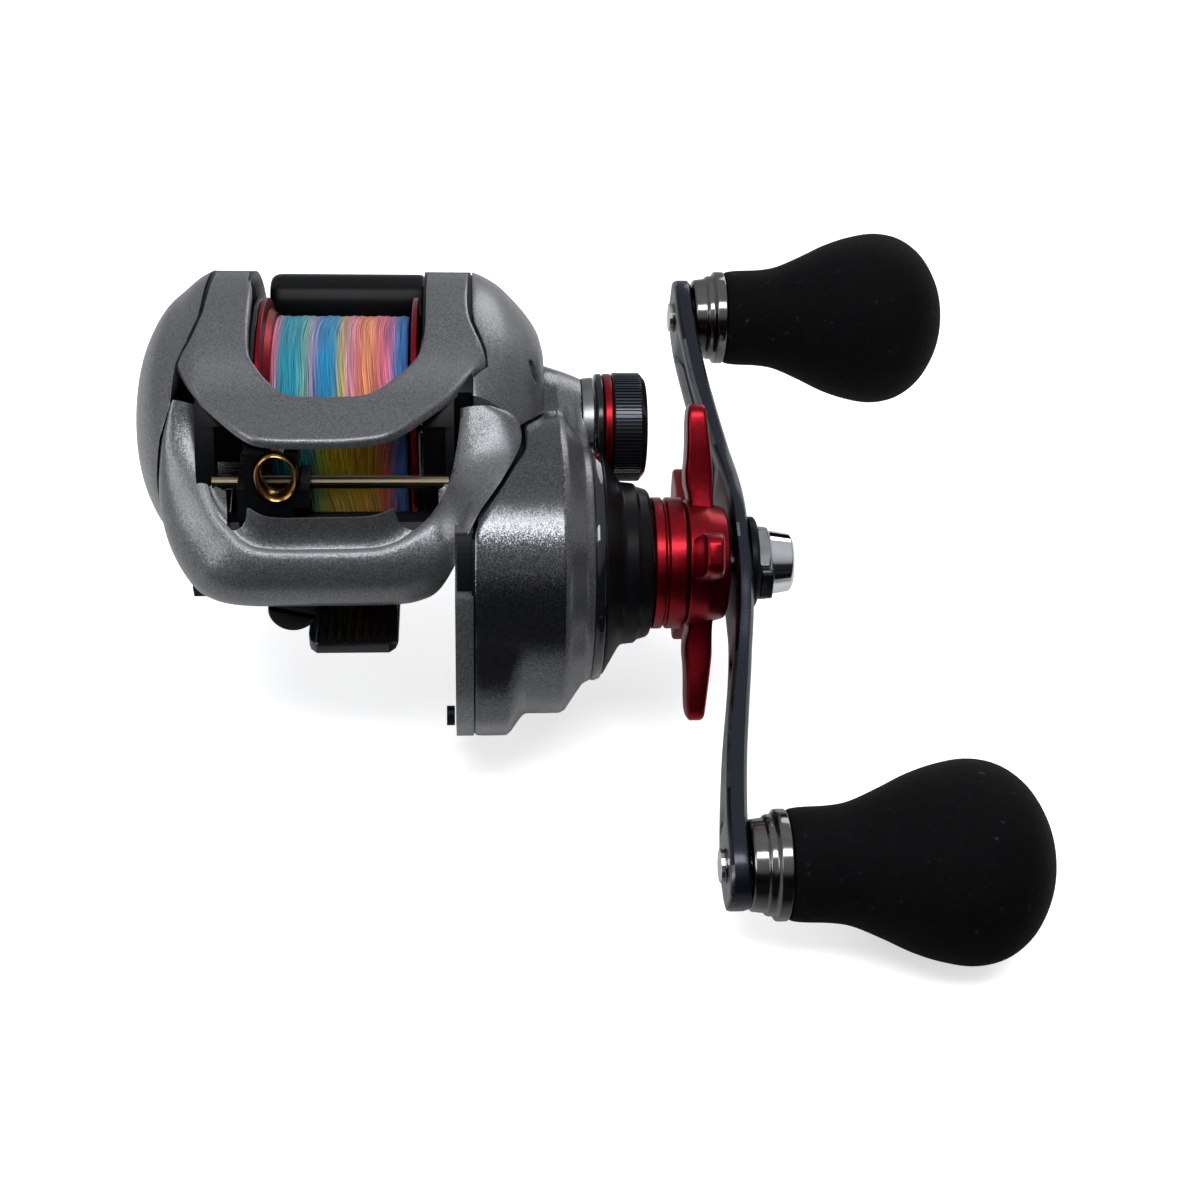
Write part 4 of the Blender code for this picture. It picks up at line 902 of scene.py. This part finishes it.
nut = lathe("handle_nut_cap", [(61.7, 2.8), (61.7, 5.9), (61.9, 6.05), (62.9, 6.05), (63.3, 5.4),
    (63.5, 4.85), (66.8, 4.3), (67.15, 3.7), (67.2, 3.2), (67.0, 3.0), (67.0, 0), (65.0, 0), (65.0, 2.8)],
    DRIVE, 180, 0.2, hexagon, 30)
piece(nut, CHROME, "crank", ["handle_nut"])
nut.data.materials.append(SATIN)
for poly in nut.data.polygons:
    if poly.center.x * 1000 - SPOOL_AXIS[0] < 63.3:
        poly.material_index = 1
clip = prism("nut_clip", [(DRIVE[0] - 6.4, DRIVE[1] - 1.9), (DRIVE[0] - 5.8, DRIVE[1] - 2.6),
    (DRIVE[0] - 5.0, DRIVE[1] - 2.4), (DRIVE[0] - 5.0, DRIVE[1] + 2.4), (DRIVE[0] - 5.8, DRIVE[1] + 2.6),
    (DRIVE[0] - 6.4, DRIVE[1] + 1.9)], 61.9, 63.7, 0)
piece(bevel(clip, 0.2), GLOSS, "crank")

FOAM_PROFILE = [(0, 61.3, 7.2), (1, 61.8, 7.5), (3, 63.5, 7.7), (5, 67.0, 7.85), (8, 70.0, 8.4),
    (11, 74.0, 10.1), (14, 78.0, 12.0), (17, 82.0, 13.3), (20, 86.0, 13.9), (23, 89.8, 13.2),
    (26, 93.0, 11.1), (28, 95.3, 8.0), (30, 96.7, 4.5), (31, 97.2, 0.0)]
for label, centre in (("front", FRONT), ("rear", REAR)):
    curve = [(p[1], p[2]) for p in spline(FOAM_PROFILE, 70)]
    curve = [(x, max(0.0, r)) for x, r in curve[:-1]] + [(97.2, 0.0)]
    rings = []
    for i in range(120):
        a = 2 * pi * i / 120
        line = [(90.6, 0.0), (90.6, 1.9), (61.3, 1.9)] + curve
        rings.append([(x, centre[0] + r * cos(a), centre[1] + r * sin(a)) for x, r in line])
    knob = loft("foam_knob_" + label, rings, True, 50)
    piece(knob, FOAM, "knob_" + label, ["knob_" + label])
    collar = lathe("collar_" + label, [(56.0, 1.9), (56.0, 5.9), (56.3, 6.15), (57.9, 6.35), (58.2, 6.7),
        (58.5, 6.8), (59.0, 6.8), (59.2, 7.0), (59.5, 7.45), (59.8, 7.5), (60.9, 7.5), (61.1, 7.3),
        (61.1, 1.9)], centre, 110, 0.1)
    piece(collar, NICKEL, "knob_" + label, ["knob_collar_" + label])
    post = lathe("rivet_" + label, [(52.5, 0), (52.5, 1.9), (52.6, 2.2), (52.8, 2.4), (52.95, 2.4),
        (52.95, 1.6), (60.0, 1.6), (60.0, 0)], centre, 64, 0.15)
    piece(post, NICKEL, "crank")

# ---------------------------------------------------------------- spool and line
piece(lathe("spool_black_rim", [(-12.0, 10.2), (-12.0, 18.7), (-11.8, 18.95), (-11.0, 18.95), (-11.0, 18.0),
    (-11.2, 10.2)], (0, 0), 140, 0.1), GLOSS, "spool")
SPOOL = [(-10.95, 10.0), (-10.95, 18.9), (-10.8, 19.2), (-10.2, 19.1), (-9.9, 17.6), (-9.0, 16.8),
    (-8.4, 12.0), (10.2, 12.0), (10.9, 16.8), (11.0, 18.9), (11.2, 19.2), (11.8, 19.2), (12.0, 18.9),
    (12.0, 6.5), (7.0, 5.0), (7.0, 1.5), (-3.6, 1.5), (-3.6, 10.0)]
piece(lathe("spool_body", SPOOL, (0, 0), 160, 0.12), RED, "spool", ["spool"])


def wound(x, r, a):
    if r < 13:
        return r
    return r + 0.05 * sin(a * 3 + x * 1.7) + 0.04 * sin(x * 5.2 + a * 2)


line_profile = [(-8.1, 12.3), (-8.95, 16.2)] + [(-8.6 + 18.8 * i / 60, 16.45)
    for i in range(61)] + [(10.5, 16.2), (9.9, 12.3)]
piece(lathe("wound_line", line_profile, (0, 0), 180, 0.1, wound, 50), BRAID, "spool",
    ["fishing_line"])

# ---------------------------------------------------------------- level wind
EYE_X, EYE_Z = GUIDE_X + 0.6, 7.7
guide = prism("guide_block", [(-20.2, -7.0), (-26.8, -7.0), (-27.2, -4.0), (-26.8, 2.8), (-26.8, 11.2),
    (-24.0, 11.2), (-20.4, 6.0)], GUIDE_X - 4.9, GUIDE_X + 4.9, 0)


def oval(cx, hx, hz, y, cz, count=64):
    return [(cx + hx * cos(2 * pi * i / count), y, cz + hz * sin(2 * pi * i / count)) for i in range(count)]


boolean(guide, [
    disc("w", -13, -2, 3.1, WORM), disc("x", -13, -2, 1.15, ROD, 40),
    loft("y", [oval(EYE_X, 3.2, 3.85, y, EYE_Z) for y in (-30, -18)], sharp=0),
    boxy("z", GUIDE_X - 6, GUIDE_X - 3.7, -30, -18, 5.6, 13),
    boxy("aa", GUIDE_X + 3.7, GUIDE_X + 6, -30, -18, 5.6, 13),
    boxy("corner", GUIDE_X + 2.6, GUIDE_X + 6, -30, -23.6, -8, 2.6),
])
piece(bevel(guide, 0.25), BLACK, "line_guide", ["line_guide"])
rings = []
for i in range(96):
    t = 2 * pi * i / 96
    ring = []
    for y, hx, hz in ((-26.0, 2.0, 2.95), (-26.6, 2.05, 3.0), (-27.2, 2.25, 3.15), (-27.6, 2.5, 3.35),
            (-27.75, 2.7, 3.5), (-27.6, 2.9, 3.68), (-27.2, 2.97, 3.75), (-25.2, 2.97, 3.75),
            (-25.0, 2.85, 3.6), (-25.0, 2.4, 3.3), (-25.3, 2.1, 3.05)):
        ring.append((EYE_X + hx * cos(t), y, EYE_Z + hz * sin(t)))
    rings.append(ring)
piece(loft("eyelet_ring", rings, True, 60), GOLD, "line_guide", ["line_guide_eyelet"])


def thread(x, r, a):
    if r < 2.0 or abs(x) > 15.2:
        return r
    pitch = 5.2
    u = (x / pitch - a / (2 * pi)) % 1
    w = (x / pitch + a / (2 * pi)) % 1
    return r - 0.4 * (1 if u < 0.25 or w < 0.25 else 0)


worm = lathe("worm_screw", [(-18.0, 0), (-18.0, 1.6), (-15.7, 1.6),
    (-15.7, 2.1)] + [(-15.5 + 31 * i / 150, 2.1) for i in range(151)] + [(15.7, 2.1), (15.7, 1.6),
    (20.0, 1.6), (20.0, 1.0), (22.2, 1.0), (22.2, 0)], WORM, 48, 0.02, thread, 40)
piece(worm, WORN, "worm", ["worm_shaft"])

# ---------------------------------------------------------------- foot, thumb bar, screw
foot_rings = []
for i in range(61):
    y = -27.3 + i
    edge = min(i, 60 - i)
    half = 6.5 - (1.3 if edge == 0 else 0.4 if edge == 1 else 0.1 if edge == 2 else 0)
    ends = abs(y - 2.7) / 30
    top = -21.0 + (0.75 if ends > 0.62 else 0)
    foot_rings.append([(2.2 - half, y, -22), (2.2 - half, y, top - 0.2), (2.2 - half + 0.25, y, top),
        (2.2 + half - 0.25, y, top), (2.2 + half, y, top - 0.2), (2.2 + half, y, -22)])
foot = loft("foot_plate", foot_rings, sharp=0)
ribs = []
for i in range(10):
    x = -3.4 + i * 1.24
    for y0, y1 in ((-27.0, -17.6), (23.0, 32.4)):
        ribs.append(loft("rib", [[(x, y0, -20.6), (x + 0.35, y0, -20.02), (x + 0.6, y0, -20.02),
            (x + 0.95, y0, -20.6)], [(x, y1, -20.6), (x + 0.35, y1, -20.02), (x + 0.6, y1, -20.02),
            (x + 0.95, y1, -20.6)]], sharp=0))
boolean(foot, ribs, "UNION")
piece(bevel(foot, 0.12), GLOSS, "reel_body", ["reel_foot"])

BAR = [(20.4, 7.2), (26.0, 7.9), (27.4, 8.9), (27.8, 11.4), (26.6, 12.6), (24.4, 13.2), (21.8, 12.6),
    (20.2, 10.6), (20.0, 8.6)]
BAR_ENDS = [(-11.7, 0.62), (-11.5, 0.8), (-11.1, 0.92), (-10.5, 0.98), (-9.8, 1.0), (11.6, 1.0), (12.1, 0.96),
    (12.3, 0.85)]
bar = loft("thumb_bar", [[(x, 23.9 + (y - 23.9) * k, 10.2 + (z - 10.2) * k) for y, z in rounded(BAR, 0.8, 4)]
    for x, k in BAR_ENDS], sharp=40)
piece(bar, BLACK, "clutch_bar", ["clutch_bar"])
link = prism("thumb_link", [(20.0, 1.4), (23.2, 1.4), (23.2, 7.4), (20.0, 7.4)], 9.0, 16.9, 0)
piece(bevel(link, 0.2), BLACK, "clutch_bar")

rings = []
for y, r in ((-27.5, 2.9), (-27.4, 3.2), (-27.0, 3.45), (-26.2, 3.5), (-24.6, 3.5), (-24.6, 1.4),
        (-21.0, 1.4)):
    rings.append([(-6.1 + r * cos(2 * pi * i / 64), y, -14.6 + r * sin(2 * pi * i / 64)) for i in range(64)])
screw = loft("under_screw", rings, sharp=0)
slot_c, slot_s = cos(radians(-14)), sin(radians(-14))
slot_tool = loft("bb", [[(-6.1 + u * slot_c - w * slot_s, y, -14.6 + u * slot_s + w * slot_c) for u,
    w in ((-5, -0.4), (5, -0.4), (5, 0.4), (-5, 0.4))] for y in (-28.2, -26.7)], sharp=0)
boolean(screw, [slot_tool])
piece(bevel(screw, 0.1), BLACK, "reel_body", ["slotted_screw"])

# ---------------------------------------------------------------- carried-over parts
FINISH = {
    "pinion_gear": BRASS, "drive_gear": BRASS, "drag_nut": BRASS, "pawl": BRASS, "carbon_drag_washer": CARBON,
    "idler_gear": BLACK, "worm_gear": BLACK, "level_wind_drive_gear": BLACK, "worm_guard": BLACK,
    "brake_dial": BLACK, "palm_release_lever": BLACK, "cover_screw": BLACK, "guide_rod": WORN,
}
replaced = {"frame", "front_bumper", "palm_side_plate", "gear_cover", "gear_side_shell", "clutch_housing",
    "cast_control_seat", "cast_control_ring", "cast_control_cap", "drag_click_ring", "star_drag",
    "handle_arm", "handle_hub_washer", "handle_nut", "knob_front", "knob_rear", "knob_collar_front",
    "knob_collar_rear", "spool", "fishing_line", "line_guide", "line_guide_eyelet", "worm_shaft", "reel_foot",
    "clutch_bar", "slotted_screw"}
for name, node in NODES.items():
    if name in replaced:
        continue
    node.data.materials.clear()
    node.data.materials.append(FINISH.get(name, STEEL))
    bevel(node, 0.1, 40, 1)

# ---------------------------------------------------------------- stage, light and camera
floor_data = bpy.data.meshes.new("floor")
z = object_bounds()[0].z - 0.0005
floor_data.from_pydata([(-3, -3, z), (3, -3, z), (3, 3, z), (-3, 3, z)], [], [(0, 1, 2, 3)])
floor = bpy.data.objects.new("floor", floor_data)
bpy.context.scene.collection.objects.link(floor)
mat, tree, shader, where = new_material("floor_pale_to_camera_dark_in_reflections")
shade = add(tree, "ShaderNodeTexNoise", Scale=3)
wire(where, shade.inputs["Vector"])
wire(ramp(tree, shade.outputs["Fac"], [(0.3, (0.86, 0.86, 0.87)), (0.7, (0.9, 0.9, 0.9))]),
    shader.inputs["Base Color"])
put(shader, Roughness=0.9, Specular_IOR_Level=0.0, Emission_Color=(1, 1, 1, 1))
# Rays other than the camera's see this floor near-black in front of the reel and pale close to it: painted
# dark surroundings and painted bright floor for reflections. The camera sees it pale and glowing.
reach = tree.nodes.new("ShaderNodeSeparateXYZ")
wire(where, reach.inputs[0])
reflected_floor_shade = add(tree, "ShaderNodeMapRange", From_Min=-0.1, From_Max=-0.055, To_Min=0.02, To_Max=0.65)
reflected_floor_shade.interpolation_type = "SMOOTHSTEP"
wire(reach.outputs["Y"], reflected_floor_shade.inputs["Value"])
eye = tree.nodes.new("ShaderNodeLightPath")
seen = colour_mix(tree)
wire(eye.outputs["Is Camera Ray"], seen.inputs["Factor"])
wire(reflected_floor_shade.outputs["Result"], seen.inputs["A"])
wire(shader.inputs["Base Color"].links[0].from_socket, seen.inputs["B"])
wire(seen.outputs["Result"], shader.inputs["Base Color"])
glow = tree.nodes.new("ShaderNodeMath")
glow.operation = "MULTIPLY"
glow.inputs[1].default_value = 0.55
wire(eye.outputs["Is Camera Ray"], glow.inputs[0])
wire(glow.outputs[0], shader.inputs["Emission Strength"])
floor_data.materials.append(mat)

world = bpy.data.worlds.new("studio")
bpy.context.scene.world = world
world.use_nodes = True
tree = world.node_tree
background = tree.nodes["Background"]
coord = tree.nodes.new("ShaderNodeTexCoord")
split = tree.nodes.new("ShaderNodeSeparateXYZ")
wire(coord.outputs["Generated"], split.inputs[0])
# Front half: a dim room with a bright soft box above it. Back half: a pale wall and ceiling.
front = ramp(tree, split.outputs["Z"], [(0.0, (0.3, 0.3, 0.31)), (0.5, (0.012, 0.013, 0.016)),
    (0.66, (0.02, 0.021, 0.024)), (0.74, (0.35, 0.36, 0.38)), (0.9, (0.6, 0.61, 0.63))])
back = ramp(tree, split.outputs["Z"], [(0.0, (0.3, 0.3, 0.31)), (0.5, (0.35, 0.35, 0.36)),
    (0.75, (0.42, 0.43, 0.45)), (0.95, (0.6, 0.61, 0.63))])
upper = add(tree, "ShaderNodeMapRange", From_Min=-1.0)
wire(split.outputs["Z"], upper.inputs["Value"])
for colour in (front, back):
    wire(upper.outputs["Result"], colour.node.inputs["Fac"])
facing = add(tree, "ShaderNodeMapRange", From_Min=-0.45, From_Max=0.15)
facing.interpolation_type = "SMOOTHSTEP"
wire(split.outputs["Y"], facing.inputs["Value"])
room = colour_mix(tree)
wire(facing.outputs["Result"], room.inputs["Factor"])
wire(front, room.inputs["A"])
wire(back, room.inputs["B"])
path = tree.nodes.new("ShaderNodeLightPath")
mix = put(colour_mix(tree), B=(1, 1, 1, 1))
wire(path.outputs["Is Camera Ray"], mix.inputs["Factor"])
wire(room.outputs["Result"], mix.inputs["A"])
wire(mix.outputs["Result"], background.inputs["Color"])
put(background, Strength=1.0)


def area(name, where, target, size, power, size_y=None):
    data = bpy.data.lights.new(name, "AREA")
    data.energy = power
    data.size = size
    if size_y:
        data.shape = "RECTANGLE"
        data.size_y = size_y
    obj = bpy.data.objects.new(name, data)
    obj.location = where
    obj.rotation_euler = (Vector(target) - Vector(where)).to_track_quat("-Z", "Y").to_euler()
    bpy.context.scene.collection.objects.link(obj)


area("key_box", (0.03, -0.27, 0.5), (0.02, 0, 0), 0.5, 2.1, 0.14)
area("left_box", (-0.5, -0.22, 0.22), (-0.02, 0, 0.02), 0.3, 1.0, 0.3)
area("rim_box", (0.3, 0.45, 0.3), (0.02, 0, 0.01), 0.3, 0.8)

camera_data = bpy.data.cameras.new("camera")
camera_data.lens = 53.94
camera_data.sensor_width = 36
camera_data.clip_start = 0.01
camera = bpy.data.objects.new("camera", camera_data)
bpy.context.scene.collection.objects.link(camera)
camera.location = place((18.84, -237.55, 136.1))
camera.rotation_euler = (radians(54.762), radians(-2.137), radians(-3.64))
bpy.context.scene.camera = camera
bpy.context.scene.view_settings.view_transform = "Standard"
